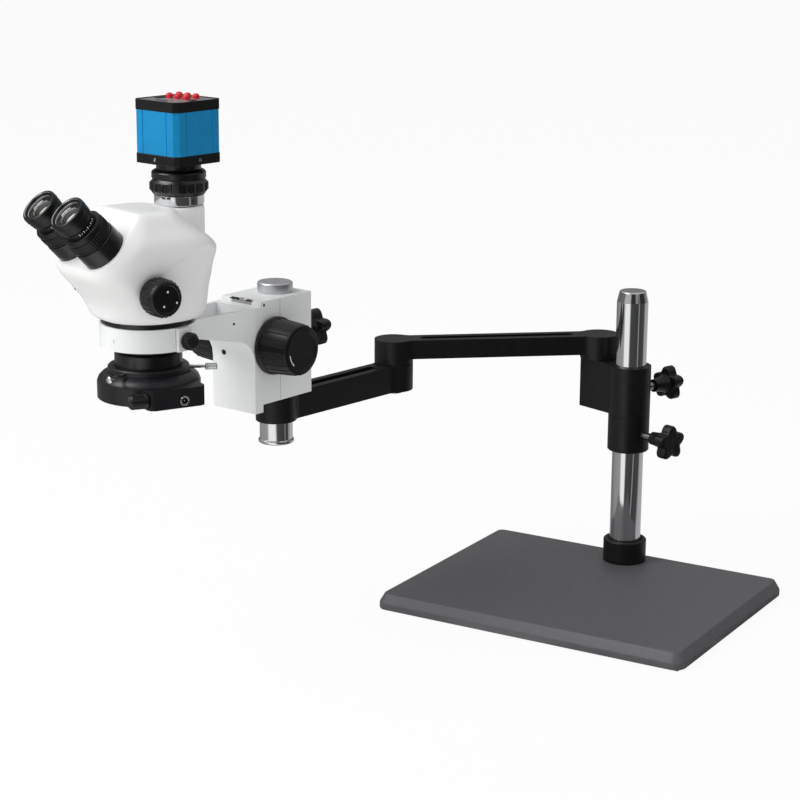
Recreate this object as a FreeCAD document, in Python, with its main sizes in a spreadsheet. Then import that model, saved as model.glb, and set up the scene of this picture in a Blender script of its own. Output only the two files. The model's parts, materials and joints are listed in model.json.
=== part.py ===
import FreeCAD, Part
import math
import os
from types import SimpleNamespace

import Sketcher

# Stereo zoom microscope on a boom of two jointed arms. Millimetres and degrees, +Z up.
# The origin is the middle of the base's underside, where it rests on the bench.
# X runs along the base's long side and Y towards the pole.

SIZES = {
    # Base and pole
    "base_length": 330.0,
    "base_depth": 258.0,
    "base_thickness": 15.9,
    "base_corner_radius": 12.0,
    "base_bevel_run": 9.5,
    "base_bevel_drop": 5.6,
    "mat_thickness": 1.5,
    "mat_inset": 5.0,
    "pole_inset": 29.0,
    "pole_radius": 16.0,
    "pole_length": 286.1,
    "pole_taper_length": 12.0,
    "pole_tip_radius": 13.0,
    "flange_radius": 22.2,
    "flange_height": 23.6,
    "flange_bevel": 3.0,
    "bolt_radius": 5.0,
    "bolt_head_radius": 8.5,
    "bolt_head_height": 6.0,
    "bolt_reach": 24.0,
    "bolt_sink": 1.0,
    # Collar and clamp on the pole
    "clamp_radius": 21.2,
    "collar_bottom": 137.0,
    "collar_height": 37.0,
    "clamp_height": 51.8,
    "clamp_block_reach": 59.0,
    "clamp_block_width": 30.0,
    "clamp_block_corner": 2.0,
    "clamp_angle": 160.0,
    "collar_knob_angle": -18.0,
    "clamp_knob_angle": -91.0,
    "running_gap": 0.08,
    "face_gap": 0.3,
    # Star knobs
    "star_lobe_radius": 6.0,
    "star_lobe_centre": 12.6,
    "star_hub_radius": 12.0,
    "star_thickness": 12.0,
    "star_neck_length": 17.0,
    "star_neck_radius": 8.5,
    "star_stud_radius": 4.0,
    "star_stud_gap": 11.5,
    # Arms
    "shoulder_reach": 46.0,
    "shoulder_angle": 58.6,
    "elbow_angle": 40.6,
    "upper_arm_length": 215.0,
    "lower_arm_length": 171.0,
    "boss_radius": 19.8,
    "arm_width": 26.0,
    "arm_fillet": 12.0,
    "upper_boss_height": 24.7,
    "upper_bar_height": 19.5,
    "lower_arm_height": 27.7,
    "arm_slot_width": 10.0,
    "arm_slot_depth": 9.0,
    "arm_slot_inset": 33.0,
    "pivot_radius": 6.0,
    "pivot_reach": 17.0,
    "pivot_head_radius": 9.5,
    "pivot_head_height": 3.0,
    # Spindle
    "spindle_radius": 16.0,
    "spindle_drop": 22.0,
    "spindle_flange_radius": 17.3,
    "spindle_flange_height": 4.0,
    "spindle_cap_radius": 17.0,
    "spindle_cap_height": 9.5,
    # Focus block
    "focus_angle": 93.1,
    "block_width": 51.0,
    "block_height": 99.0,
    "block_back": 23.0,
    "block_split": 21.7,
    "block_front": 47.5,
    "pinion_back": 33.0,
    "pinion_height": 55.7,
    "pinion_module": 1.0,
    "pinion_shaft_radius": 4.0,
    "pinion_width": 12.0,
    "bush_radius": 9.3,
    "tooth_backlash": 0.16,
    "focus_knob_radius": 27.7,
    "focus_knob_face_radius": 22.6,
    "focus_knob_length": 36.0,
    "focus_knob_flange": 5.0,
    "focus_clamp_height": 54.0,
    # Slide and bracket
    "rail_front_width": 24.0,
    "rail_back_width": 30.0,
    "rail_thickness": 4.3,
    "rail_length": 98.0,
    "rack_width": 10.0,
    "rack_length": 96.0,
    "rack_backing": 4.0,
    "slide_gap": 0.25,
    "plate_width": 54.0,
    "plate_thickness": 10.8,
    "plate_height": 101.5,
    "plate_drop": 6.8,
    "fork_height": 28.0,
    "fork_ring_height": 21.0,
    "fork_wall": 5.0,
    "fork_ring_width": 38.0,
    "fork_fillet": 24.0,
    "ring_reach": 171.0,
    "ring_bore_radius": 38.0,
    "ring_radius": 43.0,
    "ring_bottom": 303.4,
    "lug_width": 17.0,
    "lug_reach": 47.0,
    "thumbscrew_radius": 7.5,
    "thumbscrew_length": 10.0,
    "thumbscrew_stem_radius": 2.5,
    # Microscope head
    "head_angle": -12.8,
    "head_flange_radius": 41.6,
    "head_flange_height": 4.5,
    "nose_radius": 34.0,
    "nose_drop": 3.4,
    "nose_neck_radius": 30.5,
    "nose_length": 31.4,
    "objective_thread_radius": 24.0,
    "objective_thread_depth": 6.0,
    "objective_radius": 26.0,
    "objective_thickness": 6.0,
    "head_height": 97.9,
    "head_width": 107.0,
    "head_side_width": 99.0,
    "head_back": 52.0,
    "head_nose_reach": 73.0,
    "slope_start": 454.0,
    "slope_angle": 45.0,
    "zoom_forward": 22.9,
    "zoom_height": 357.7,
    "zoom_shaft_radius": 4.0,
    "zoom_knob_radius": 16.3,
    "zoom_knob_length": 20.5,
    "zoom_knob_face": 69.5,
    # Eyepieces
    "eyepiece_spacing": 47.2,
    "eyepiece_height": 397.4,
    "eyetube_pivot_offset": 12.0,
    "eyetube_pivot_radius": 7.0,
    "eyetube_pivot_depth": 6.0,
    "eyetube_flange_radius": 22.2,
    "eyetube_flange_height": 5.0,
    "eyetube_radius": 20.2,
    "eyetube_length": 16.0,
    "eyetube_sleeve_radius": 15.0,
    "diopter_radius": 19.5,
    "diopter_length": 16.2,
    "eyetube_bore_radius": 11.8,
    "eyepiece_waist_radius": 15.0,
    "eyepiece_rim_radius": 17.4,
    "eyepiece_length": 20.0,
    "eye_lens_radius": 13.4,
    # Photo port and relay
    "port_back": 36.0,
    "port_radius": 22.5,
    "port_bore_radius": 18.1,
    "port_ring_radius": 22.3,
    "port_ring_height": 9.0,
    "relay_radius": 25.3,
    "relay_height": 14.0,
    "mount_radius": 24.4,
    "mount_height": 7.7,
    "mount_neck_radius": 20.0,
    "mount_neck_height": 6.0,
    "relay_sleeve_radius": 18.0,
    # Camera
    "camera_angle": 9.7,
    "camera_side": 56.5,
    "camera_corner": 4.5,
    "camera_lower_cap": 8.8,
    "camera_body_height": 38.5,
    "camera_upper_cap": 9.0,
    "camera_rim": 2.0,
    "camera_panel_thickness": 1.5,
    "camera_panel_depth": 0.6,
    "button_radius": 3.2,
    "button_height": 4.5,
    "button_travel": 0.8,
    "button_pitch_x": 10.9,
    "button_pitch_y": 11.6,
    # Ring light
    "light_angle": -21.5,
    "light_drop": 47.8,
    "light_radius": 46.6,
    "light_wall_height": 15.2,
    "light_collar_radius": 36.7,
    "light_collar_top": 29.4,
    "light_shoulder": 24.0,
    "light_bore_radius": 30.8,
    "light_recess_depth": 4.0,
    "light_recess_radius": 43.5,
    "control_reach": 57.0,
    "control_forward": 24.0,
    "control_back": 31.0,
    "control_height": 17.5,
    "control_corner": 6.0,
    "light_screw_angle": 62.0,
    "light_screw_rod_radius": 1.5,
    "light_screw_head_radius": 3.0,
    "light_screw_rod": 14.0,
    "light_screw_head": 11.0,
    "dimmer_inset": 8.5,
    "dimmer_radius": 7.0,
    "dimmer_length": 16.0,
    "jack_radius": 4.5,
    "jack_depth": 9.0,
}


class Size:
    """A number together with the sheet formula that it comes from."""

    def __init__(self, number, formula):
        self.number = number
        self.formula = formula

    def joined(self, other, sign, number):
        return Size(number, f"({self.formula} {sign} {sized(other).formula})")

    def __add__(self, other):
        return self.joined(other, "+", self.number + sized(other).number)

    def __radd__(self, other):
        return sized(other) + self

    def __sub__(self, other):
        return self.joined(other, "-", self.number - sized(other).number)

    def __rsub__(self, other):
        return sized(other) - self

    def __mul__(self, other):
        return self.joined(other, "*", self.number * sized(other).number)

    def __rmul__(self, other):
        return sized(other) * self

    def __truediv__(self, other):
        return self.joined(other, "/", self.number / sized(other).number)

    def __neg__(self):
        return Size(-self.number, f"(0 - {self.formula})")


def sized(value):
    """A plain number as a Size, and a Size as it is."""
    if isinstance(value, Size):
        return value
    return Size(float(value), f"({float(value):.6f})")


def cosine(angle):
    return Size(math.cos(math.radians(angle.number)), f"cos({angle.formula})")


def sine(angle):
    return Size(math.sin(math.radians(angle.number)), f"sin({angle.formula})")


AXES = {"x": "1; 0; 0", "y": "0; 1; 0", "z": "0; 0; 1"}


class Frame:
    """A place and direction in the model, as a formula for a Placement."""

    def __init__(self, formula):
        self.formula = formula

    def at(self, x=0, y=0, z=0):
        spot = "; ".join(sized(value).formula for value in (x, y, z))
        step = f"placement(vector({spot}); rotation(vector(0; 0; 1); 0))"
        return Frame(f"{self.formula} * {step}")

    def turned(self, axis, angle):
        turn = f"rotation(vector({AXES[axis]}); {sized(angle).formula})"
        return Frame(f"{self.formula} * placement(vector(0; 0; 0); {turn})")


doc = FreeCAD.newDocument("StereoMicroscope")
sheet = doc.addObject("Spreadsheet::Sheet", "Sizes")
for row, (alias, number) in enumerate(SIZES.items(), start=1):
    sheet.set(f"A{row}", alias)
    sheet.set(f"B{row}", str(number))
    sheet.setAlias(f"B{row}", alias)
doc.recompute()
s = SimpleNamespace(**{alias: Size(number, f"Sizes.{alias}") for alias, number in SIZES.items()})

subparts = []


def keep(label, piece):
    """Name a finished sub-part and list it for export."""
    piece.Label = label
    subparts.append(piece)
    return piece


def place(piece, frame):
    piece.setExpression("Placement", frame.formula)
    return piece


def cylinder(name, radius, height, frame):
    piece = doc.addObject("Part::Cylinder", name)
    piece.setExpression("Radius", sized(radius).formula)
    piece.setExpression("Height", sized(height).formula)
    return place(piece, frame)


def cone(name, bottom_radius, top_radius, height, frame):
    piece = doc.addObject("Part::Cone", name)
    piece.setExpression("Radius1", sized(bottom_radius).formula)
    piece.setExpression("Radius2", sized(top_radius).formula)
    piece.setExpression("Height", sized(height).formula)
    return place(piece, frame)


def block(name, x, y, z, frame):
    """A box between the low and high values given for each axis of the frame."""
    piece = doc.addObject("Part::Box", name)
    for side, (low, high) in zip(("Length", "Width", "Height"), (x, y, z)):
        piece.setExpression(side, (sized(high) - low).formula)
    return place(piece, frame.at(x[0], y[0], z[0]))


def fused(name, *pieces):
    piece = doc.addObject("Part::MultiFuse", name)
    piece.Shapes = list(pieces)
    piece.Refine = True
    return piece


def cut(name, base, *tools):
    piece = doc.addObject("Part::Cut", name)
    piece.Base = base
    piece.Tool = tools[0] if len(tools) == 1 else fused(f"{name}_tools", *tools)
    piece.Refine = True
    return piece


def shared(name, *pieces):
    """What several pieces have in common."""
    piece = doc.addObject("Part::MultiCommon", name)
    piece.Shapes = list(pieces)
    return piece


def grouped(name, *pieces):
    """Separate solids kept as one sub-part."""
    piece = doc.addObject("Part::Compound", name)
    piece.Links = list(pieces)
    return piece


def origin_plane(body, role):
    return next(plane for plane in body.Origin.OriginFeatures if plane.Role == role)


def outline_sketch(body, role, outline):
    """A closed outline of straight lines whose corners are all set from the sheet."""
    sketch = body.newObject("Sketcher::SketchObject", f"{body.Name}_outline")
    sketch.AttachmentSupport = [(origin_plane(body, role), "")]
    sketch.MapMode = "FlatFace"
    corners = [(sized(x), sized(y)) for x, y in outline]
    count = len(corners)
    spots = [FreeCAD.Vector(x.number, y.number, 0) for x, y in corners]
    for index in range(count):
        sketch.addGeometry(Part.LineSegment(spots[index], spots[(index + 1) % count]))
    for index in range(count):
        following = (index + 1) % count
        sketch.addConstraint(Sketcher.Constraint("Coincident", index, 2, following, 1))
    for index, corner in enumerate(corners):
        for direction, value in zip(("DistanceX", "DistanceY"), corner):
            rule = Sketcher.Constraint(direction, index, 1, value.number)
            number = sketch.addConstraint(rule)
            sketch.setExpression(f"Constraints[{number}]", value.formula)
    return sketch


def revolved(name, outline, frame):
    """A turned piece: its half outline of (radius, height) corners spun about the frame's Z."""
    body = doc.addObject("PartDesign::Body", name)
    sketch = outline_sketch(body, "XZ_Plane", outline)
    turn = body.newObject("PartDesign::Revolution", f"{name}_turn")
    turn.Profile = sketch
    turn.ReferenceAxis = (sketch, ["V_Axis"])
    turn.Angle = 360
    return place(body, frame)


def extruded(name, outline, height, frame):
    """A piece of one outline, padded along the frame's Z."""
    body = doc.addObject("PartDesign::Body", name)
    sketch = outline_sketch(body, "XY_Plane", outline)
    pad = body.newObject("PartDesign::Pad", f"{name}_pad")
    pad.Profile = sketch
    pad.setExpression("Length", sized(height).formula)
    return place(body, frame)


def edges_where(piece, test):
    """Numbers of a finished piece's edges whose middle and direction pass the test."""
    doc.recompute()
    found = []
    for number, edge in enumerate(piece.Shape.Edges, start=1):
        middle = edge.valueAt((edge.FirstParameter + edge.LastParameter) / 2)
        if test(edge, middle):
            found.append(number)
    return found


def rounded_edges(name, piece, radius, test):
    result = doc.addObject("Part::Fillet", name)
    result.Base = piece
    result.Edges = [(n, radius.number, radius.number) for n in edges_where(piece, test)]
    return result


def ring_of(count):
    """Angles, in degrees, of evenly spaced copies round a full turn."""
    return [360.0 * index / count for index in range(count)]


# Frames from the bench up to the microscope head

bench = Frame("placement(vector(0; 0; 0); rotation(vector(0; 0; 1); 0))")
plate_top = s.mat_thickness + s.base_thickness
pole_back = s.base_depth / 2 - s.pole_inset
pole_axis = bench.at(0, pole_back, 0)
clamp_bottom = s.collar_bottom + s.collar_height + s.face_gap
clamp_top = clamp_bottom + s.clamp_height - s.face_gap
arm_level = clamp_top + s.face_gap
clamp_frame = pole_axis.turned("z", s.clamp_angle)
upper_frame = clamp_frame.at(s.shoulder_reach, 0, arm_level).turned("z", s.shoulder_angle)
lower_frame = upper_frame.at(s.upper_arm_length, 0, -s.face_gap - s.lower_arm_height)
lower_frame = lower_frame.turned("z", s.elbow_angle)
focus_frame = lower_frame.at(s.lower_arm_length, 0, s.lower_arm_height + s.face_gap)
focus_frame = focus_frame.turned("z", s.focus_angle)
block_level = arm_level
ring_level = s.ring_bottom - block_level
ring_frame = focus_frame.at(0, -s.ring_reach, ring_level)
ring_height = s.fork_ring_height
head_frame = ring_frame.turned("z", s.head_angle)
light_frame = ring_frame.at(0, 0, -s.light_drop).turned("z", s.light_angle)


def star_knob(name, frame, stud):
    """A five-lobed clamping knob on a threaded stud, its neck starting at the frame's origin."""
    neck = cone(f"{name}_neck", s.star_neck_radius * 0.8, s.star_neck_radius,
                s.star_neck_length, frame)
    disc = frame.at(0, 0, s.star_neck_length)
    hub = cylinder(f"{name}_hub", s.star_hub_radius, s.star_thickness, disc)
    lobes = [
        cylinder(f"{name}_lobe", s.star_lobe_radius, s.star_thickness,
                 disc.turned("z", angle).at(s.star_lobe_centre, 0, 0))
        for angle in ring_of(5)
    ]
    screw = cylinder(f"{name}_stud", s.star_stud_radius, stud + 1, frame.at(0, 0, -stud))
    return keep(name, fused(f"{name}_whole", neck, hub, *lobes, screw))


def fluted_knob(name, outline, frame, radius, length, start, count, flute):
    """A turned grip with shallow grooves cut along its side."""
    grip = revolved(f"{name}_grip", outline, frame)
    grooves = [
        cylinder(f"{name}_flute", flute, length,
                 frame.turned("z", angle).at(radius, 0, start))
        for angle in ring_of(count)
    ]
    return cut(f"{name}_cut", grip, *grooves)


def build_base():
    """Steel plate with bevelled top edges, on a thin rubber mat."""
    body = doc.addObject("PartDesign::Body", "base_plate_body")
    half_length = s.base_length / 2
    half_depth = s.base_depth / 2
    outline = [(-half_length, -half_depth), (half_length, -half_depth),
               (half_length, half_depth), (-half_length, half_depth)]
    pad = body.newObject("PartDesign::Pad", "base_plate_pad")
    pad.Profile = outline_sketch(body, "XY_Plane", outline)
    pad.setExpression("Length", s.base_thickness.formula)
    doc.recompute()
    uprights = [f"Edge{n}" for n, edge in enumerate(pad.Shape.Edges, start=1)
                if abs(edge.tangentAt(edge.FirstParameter).z) > 0.9]
    corners = body.newObject("PartDesign::Fillet", "base_plate_corners")
    corners.Base = (pad, uprights)
    corners.setExpression("Radius", s.base_corner_radius.formula)
    doc.recompute()
    top_face = next(f"Face{n}" for n, face in enumerate(corners.Shape.Faces, start=1)
                    if face.CenterOfMass.z > s.base_thickness.number - 0.01)
    bevel = body.newObject("PartDesign::Chamfer", "base_plate_bevel")
    bevel.Base = (corners, [top_face])
    bevel.ChamferType = "Two distances"
    bevel.setExpression("Size", s.base_bevel_run.formula)
    bevel.setExpression("Size2", s.base_bevel_drop.formula)
    place(body, bench.at(0, 0, s.mat_thickness))
    counterbore = cylinder("base_counterbore", s.bolt_head_radius + s.face_gap,
                           s.bolt_head_height + s.bolt_sink,
                           pole_axis.at(0, 0, s.mat_thickness))
    bolt_hole = cylinder("base_bolt_hole", s.bolt_radius + s.face_gap, s.base_thickness,
                         pole_axis.at(0, 0, s.mat_thickness))
    keep("base_plate", cut("base_plate_cut", body, counterbore, bolt_hole))
    inset_length = half_length - s.mat_inset
    inset_depth = half_depth - s.mat_inset
    mat = extruded("base_mat_body",
                   [(-inset_length, -inset_depth), (inset_length, -inset_depth),
                    (inset_length, inset_depth), (-inset_length, inset_depth)],
                   s.mat_thickness, bench)
    keep("base_mat", mat)


def build_pole():
    """Chromed pole with a tapered tip, its foot flange and the bolt that holds both down."""
    tap_radius = s.bolt_radius
    tap_top = s.bolt_reach + 3
    shoulder = s.pole_length - s.pole_taper_length
    pole = revolved("pole_body", [
        (tap_radius, 0), (s.pole_radius, 0), (s.pole_radius, shoulder),
        (s.pole_tip_radius, s.pole_length), (0, s.pole_length), (0, tap_top),
        (tap_radius, tap_top),
    ], pole_axis.at(0, 0, plate_top))
    keep("pole", pole)
    bore = s.pole_radius
    bevel = s.flange_bevel
    flange = revolved("pole_flange_body", [
        (bore, 0), (s.flange_radius, 0), (s.flange_radius, s.flange_height - 1),
        (s.flange_radius - 1, s.flange_height), (bore + bevel, s.flange_height),
        (bore, s.flange_height - bevel),
    ], pole_axis.at(0, 0, plate_top))
    keep("pole_flange", flange)
    head_top = s.bolt_head_height
    bolt = revolved("pole_bolt_body", [
        (0, 0), (s.bolt_head_radius, 0), (s.bolt_head_radius, head_top),
        (s.bolt_radius, head_top), (s.bolt_radius, s.base_thickness + s.bolt_reach),
        (0, s.base_thickness + s.bolt_reach),
    ], pole_axis.at(0, 0, s.mat_thickness + s.bolt_sink))
    keep("pole_bolt", bolt)


def build_collar():
    """Stop collar that carries the clamp, locked to the pole by a star knob."""
    bore = s.pole_radius + s.running_gap
    ring = revolved("stop_collar_ring", [
        (bore, 0), (s.clamp_radius - 1, 0), (s.clamp_radius, 1),
        (s.clamp_radius, s.collar_height), (bore, s.collar_height),
    ], pole_axis.at(0, 0, s.collar_bottom))
    middle = s.collar_bottom + s.collar_height - s.star_lobe_centre - s.star_lobe_radius
    outward = pole_axis.turned("z", s.collar_knob_angle).at(0, 0, middle).turned("y", 90)
    tapping = cylinder("stop_collar_tapping", s.star_stud_radius + s.running_gap,
                       s.clamp_radius + 2, outward)
    keep("stop_collar", cut("stop_collar_cut", ring, tapping))
    stud = s.clamp_radius + s.star_stud_gap - s.pole_radius - s.face_gap
    star_knob("stop_collar_knob", outward.at(0, 0, s.clamp_radius + s.star_stud_gap), stud)


def build_clamp():
    """Pole clamp: a ring round the pole with a block that carries the shoulder pivot."""
    height = s.clamp_height - s.face_gap
    level = clamp_frame.at(0, 0, clamp_bottom)
    ring = cylinder("pole_clamp_ring", s.clamp_radius, height, level)
    half = s.clamp_block_width / 2
    carrier = block("pole_clamp_block", (0, s.clamp_block_reach), (-half, half),
                    (0, height), level)
    solid = fused("pole_clamp_solid", ring, carrier)
    bore = cylinder("pole_clamp_bore", s.pole_radius + s.running_gap, height + 2,
                    level.at(0, 0, -1))
    outward = clamp_frame.turned("z", s.clamp_knob_angle)
    outward = outward.at(0, 0, clamp_bottom + height / 2 - 1).turned("y", 90)
    tapping = cylinder("pole_clamp_tapping", s.star_stud_radius + s.running_gap,
                       s.clamp_radius + 2, outward)
    pin_depth = s.pivot_reach + 6
    pin_hole = cylinder("pole_clamp_pin_hole", s.pivot_radius, pin_depth + 1,
                        clamp_frame.at(s.shoulder_reach, 0, clamp_top - pin_depth))
    whole = cut("pole_clamp_cut", solid, bore, tapping, pin_hole)
    corner = s.clamp_block_reach.number
    softened = rounded_edges("pole_clamp_rounded", whole, s.clamp_block_corner,
                             lambda edge, middle: is_block_corner(edge, middle, corner))
    keep("pole_clamp", softened)
    stud = s.clamp_radius + s.star_stud_gap - s.pole_radius - s.face_gap
    star_knob("pole_clamp_knob", outward.at(0, 0, s.clamp_radius + s.star_stud_gap), stud)
    pin = cylinder("shoulder_pin_shank", s.pivot_radius, pin_depth + s.pivot_reach,
                   clamp_frame.at(s.shoulder_reach, 0, clamp_top - pin_depth))
    collar = cylinder("shoulder_pin_washer", s.pivot_head_radius, s.face_gap,
                      clamp_frame.at(s.shoulder_reach, 0, clamp_top))
    keep("shoulder_pin", fused("shoulder_pin_whole", pin, collar))


def is_block_corner(edge, middle, reach):
    """Whether an upright edge stands on the far end of the clamp's block."""
    if abs(edge.tangentAt(edge.FirstParameter).z) < 0.9:
        return False
    return math.hypot(middle.x, middle.y - pole_back.number) > reach


def arm(name, length, boss_height, bar_bottom, frame, bores):
    """A cast arm: a slotted bar between two round bosses, blended into each."""
    bosses = [
        cylinder(f"{name}_boss", s.boss_radius, boss_height, frame.at(x, 0, 0))
        for x in (0, length)
    ]
    half = s.arm_width / 2
    bar = block(f"{name}_bar", (0, length), (-half, half), (bar_bottom, boss_height), frame)
    solid = fused(f"{name}_solid", *bosses, bar)
    start = s.arm_slot_inset
    floor = boss_height - s.arm_slot_depth
    slot_half = s.arm_slot_width / 2
    slot = block(f"{name}_slot", (start, length - start), (-slot_half, slot_half),
                 (floor, boss_height + 1), frame)
    slot_ends = [
        cylinder(f"{name}_slot_end", slot_half, s.arm_slot_depth + 1, frame.at(x, 0, floor))
        for x in (start, length - start)
    ]
    whole = cut(f"{name}_cut", solid, slot, *slot_ends, *bores)
    return rounded_edges(f"{name}_blended", whole, s.arm_fillet,
                         lambda edge, middle: joins_bar(edge, middle, bosses))


def joins_bar(edge, middle, bosses):
    """Whether an upright edge is where an arm's bar runs into one of its bosses."""
    if abs(edge.tangentAt(edge.FirstParameter).z) < 0.9:
        return False
    near, far = (boss.Placement.Base for boss in bosses)
    along = FreeCAD.Vector(far.x - near.x, far.y - near.y, 0).normalize()
    for centre in (near, far):
        reach = FreeCAD.Vector(middle.x - centre.x, middle.y - centre.y, 0)
        on_boss = abs(reach.Length - s.boss_radius.number) < 0.01
        off_axis = abs(reach.cross(along).z)
        if on_boss and abs(off_axis - s.arm_width.number / 2) < 0.01:
            return True
    return False


def build_arms():
    """Upper and lower arms with the shoulder screw that joins them at the elbow."""
    bore = s.pivot_radius + s.running_gap
    reach = s.pivot_reach + 1
    drop = s.upper_boss_height - s.upper_bar_height
    shoulder_bore = cylinder("upper_arm_shoulder_bore", bore, reach, upper_frame)
    elbow_bore = cylinder("upper_arm_elbow_bore", s.pivot_radius, reach,
                          upper_frame.at(s.upper_arm_length, 0, 0))
    upper = arm("upper_arm", s.upper_arm_length, s.upper_boss_height, drop, upper_frame,
                [shoulder_bore, elbow_bore])
    keep("upper_arm", upper)
    elbow_through = cylinder("lower_arm_elbow_bore", bore, s.lower_arm_height, lower_frame)
    spindle_bore = cylinder("lower_arm_spindle_bore", s.spindle_radius,
                            s.lower_arm_height, lower_frame.at(s.lower_arm_length, 0, 0))
    lower = arm("lower_arm", s.lower_arm_length, s.lower_arm_height, 0, lower_frame,
                [elbow_through, spindle_bore])
    keep("lower_arm", lower)
    head = cylinder("elbow_pin_head", s.pivot_head_radius, s.pivot_head_height,
                    lower_frame.at(0, 0, -s.face_gap - s.pivot_head_height))
    shank_length = s.lower_arm_height + 2 * s.face_gap + s.pivot_reach
    shank = cylinder("elbow_pin_shank", s.pivot_radius, shank_length,
                     lower_frame.at(0, 0, -s.face_gap))
    keep("elbow_pin", fused("elbow_pin_whole", head, shank))


def build_spindle():
    """Chromed spindle held in the lower arm's end boss, with a foot flange and a top cap."""
    foot = -s.spindle_drop
    top = s.lower_arm_height + 2 * s.face_gap + s.block_height
    spindle = revolved("spindle_body", [
        (0, foot), (s.spindle_flange_radius, foot),
        (s.spindle_flange_radius, foot + s.spindle_flange_height),
        (s.spindle_radius, foot + s.spindle_flange_height), (s.spindle_radius, top), (0, top),
    ], lower_frame.at(s.lower_arm_length, 0, 0))
    keep("spindle", spindle)
    rim = s.spindle_cap_radius
    height = s.spindle_cap_height
    cap = revolved("spindle_cap_body", [
        (0, 0), (rim, 0), (rim, height - 1.2), (rim - 1.2, height), (0, height),
    ], lower_frame.at(s.lower_arm_length, 0, top))
    keep("spindle_cap", cap)


def build_focus_block():
    """Clamp body on the spindle and the housing that guides the slide and holds the pinion."""
    half = s.block_width / 2
    rear = block("focus_body_block", (-half, half), (-s.block_split, s.block_back),
                 (0, s.block_height), focus_frame)
    bore = cylinder("focus_body_bore", s.spindle_radius + s.running_gap, s.block_height,
                    focus_frame)
    outward = focus_frame.at(0, 0, s.focus_clamp_height).turned("x", -90)
    tapping = cylinder("focus_body_tapping", s.star_stud_radius + s.running_gap,
                       s.block_back + 2, outward)
    keep("focus_body", cut("focus_body_cut", rear, bore, tapping))
    stud = s.block_back + s.star_stud_gap - s.spindle_radius - s.face_gap
    star_knob("focus_clamp_knob", outward.at(0, 0, s.block_back + s.star_stud_gap), stud)

    front = block("rack_housing_block", (-half, half), (-s.block_front, -s.block_split),
                  (0, s.block_height), focus_frame)
    gap = s.slide_gap
    mouth = s.block_front
    floor = mouth - s.rail_thickness
    front_half = s.rail_front_width / 2 + gap + s.face_gap
    back_half = s.rail_back_width / 2 + gap + s.face_gap
    channel = extruded("rack_housing_channel", [
        (-front_half, -mouth - 1), (front_half, -mouth - 1), (front_half, -mouth),
        (back_half, -floor), (-back_half, -floor), (-front_half, -mouth),
    ], s.block_height, focus_frame)
    tip_line = rack_line() - s.pinion_module - gap
    rack_half = s.rack_width / 2 + gap
    rack_way = block("rack_housing_rack_way", (-rack_half, rack_half),
                     (-floor - 1, -tip_line), (0, s.block_height), focus_frame)
    across = pinion_frame()
    pinion_bore = cylinder("rack_housing_pinion_bore", s.bush_radius + s.running_gap / 2,
                           s.block_width, across.at(0, 0, -half))
    keep("rack_housing", cut("rack_housing_cut", front, channel, rack_way, pinion_bore))


def rack_line():
    """Distance of the rack's pitch line in front of the spindle axis."""
    return s.pinion_back + pitch_radius()


def pitch_radius():
    return s.pinion_module * PINION_TEETH / 2


def pinion_frame():
    """At the pinion's middle, with Z along its axis to the right."""
    return focus_frame.at(0, -s.pinion_back, s.pinion_height).turned("y", 90)


PINION_TEETH = 16
PRESSURE_SLOPE = math.tan(math.radians(20.0))


def tooth_half_width(above_pitch):
    """Half a tooth's thickness at a height above its pitch line, with backlash taken off."""
    module = s.pinion_module.number
    return math.pi * module / 4 - s.tooth_backlash.number - above_pitch * PRESSURE_SLOPE


def pinion_shape():
    """Pinion teeth as one prism along Z, with a tooth pointing along -Y."""
    module = s.pinion_module.number
    pitch = pitch_radius().number
    corners = []
    for index in range(PINION_TEETH):
        middle = -math.pi / 2 + 2 * math.pi * index / PINION_TEETH
        heights = (-1.25 * module, 0.0, module)
        flank = [(pitch + up, tooth_half_width(up) / pitch) for up in heights]
        side = [(radius, middle - half) for radius, half in flank]
        side += [(radius, middle + half) for radius, half in reversed(flank)]
        corners += [(radius * math.cos(a), radius * math.sin(a), 0) for radius, a in side]
    face = Part.Face(Part.makePolygon([FreeCAD.Vector(*c) for c in corners + corners[:1]]))
    width = s.pinion_width.number
    face.translate(FreeCAD.Vector(0, 0, -width / 2))
    return face.extrude(FreeCAD.Vector(0, 0, width))


def rack_shape():
    """Rack with straight-sided teeth facing +Y, its pitch line at Y 0 and a gap at Z 0."""
    module = s.pinion_module.number
    pitch = math.pi * module
    low = (rail_start() + 1 - s.pinion_height).number
    high = low + s.rack_length.number
    root = -1.25 * module
    back = root - s.rack_backing.number
    corners = [(back, low), (root, low)]
    for index in range(math.ceil(low / pitch), math.floor(high / pitch)):
        middle = (index + 0.5) * pitch
        for up in (root, module):
            corners.append((up, middle - tooth_half_width(up)))
        for up in (module, root):
            corners.append((up, middle + tooth_half_width(up)))
    corners += [(root, high), (back, high)]
    points = [FreeCAD.Vector(0, y, z) for y, z in corners + corners[:1]]
    face = Part.Face(Part.makePolygon(points))
    width = s.rack_width.number
    face.translate(FreeCAD.Vector(-width / 2, 0, 0))
    return face.extrude(FreeCAD.Vector(width, 0, 0))


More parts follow.
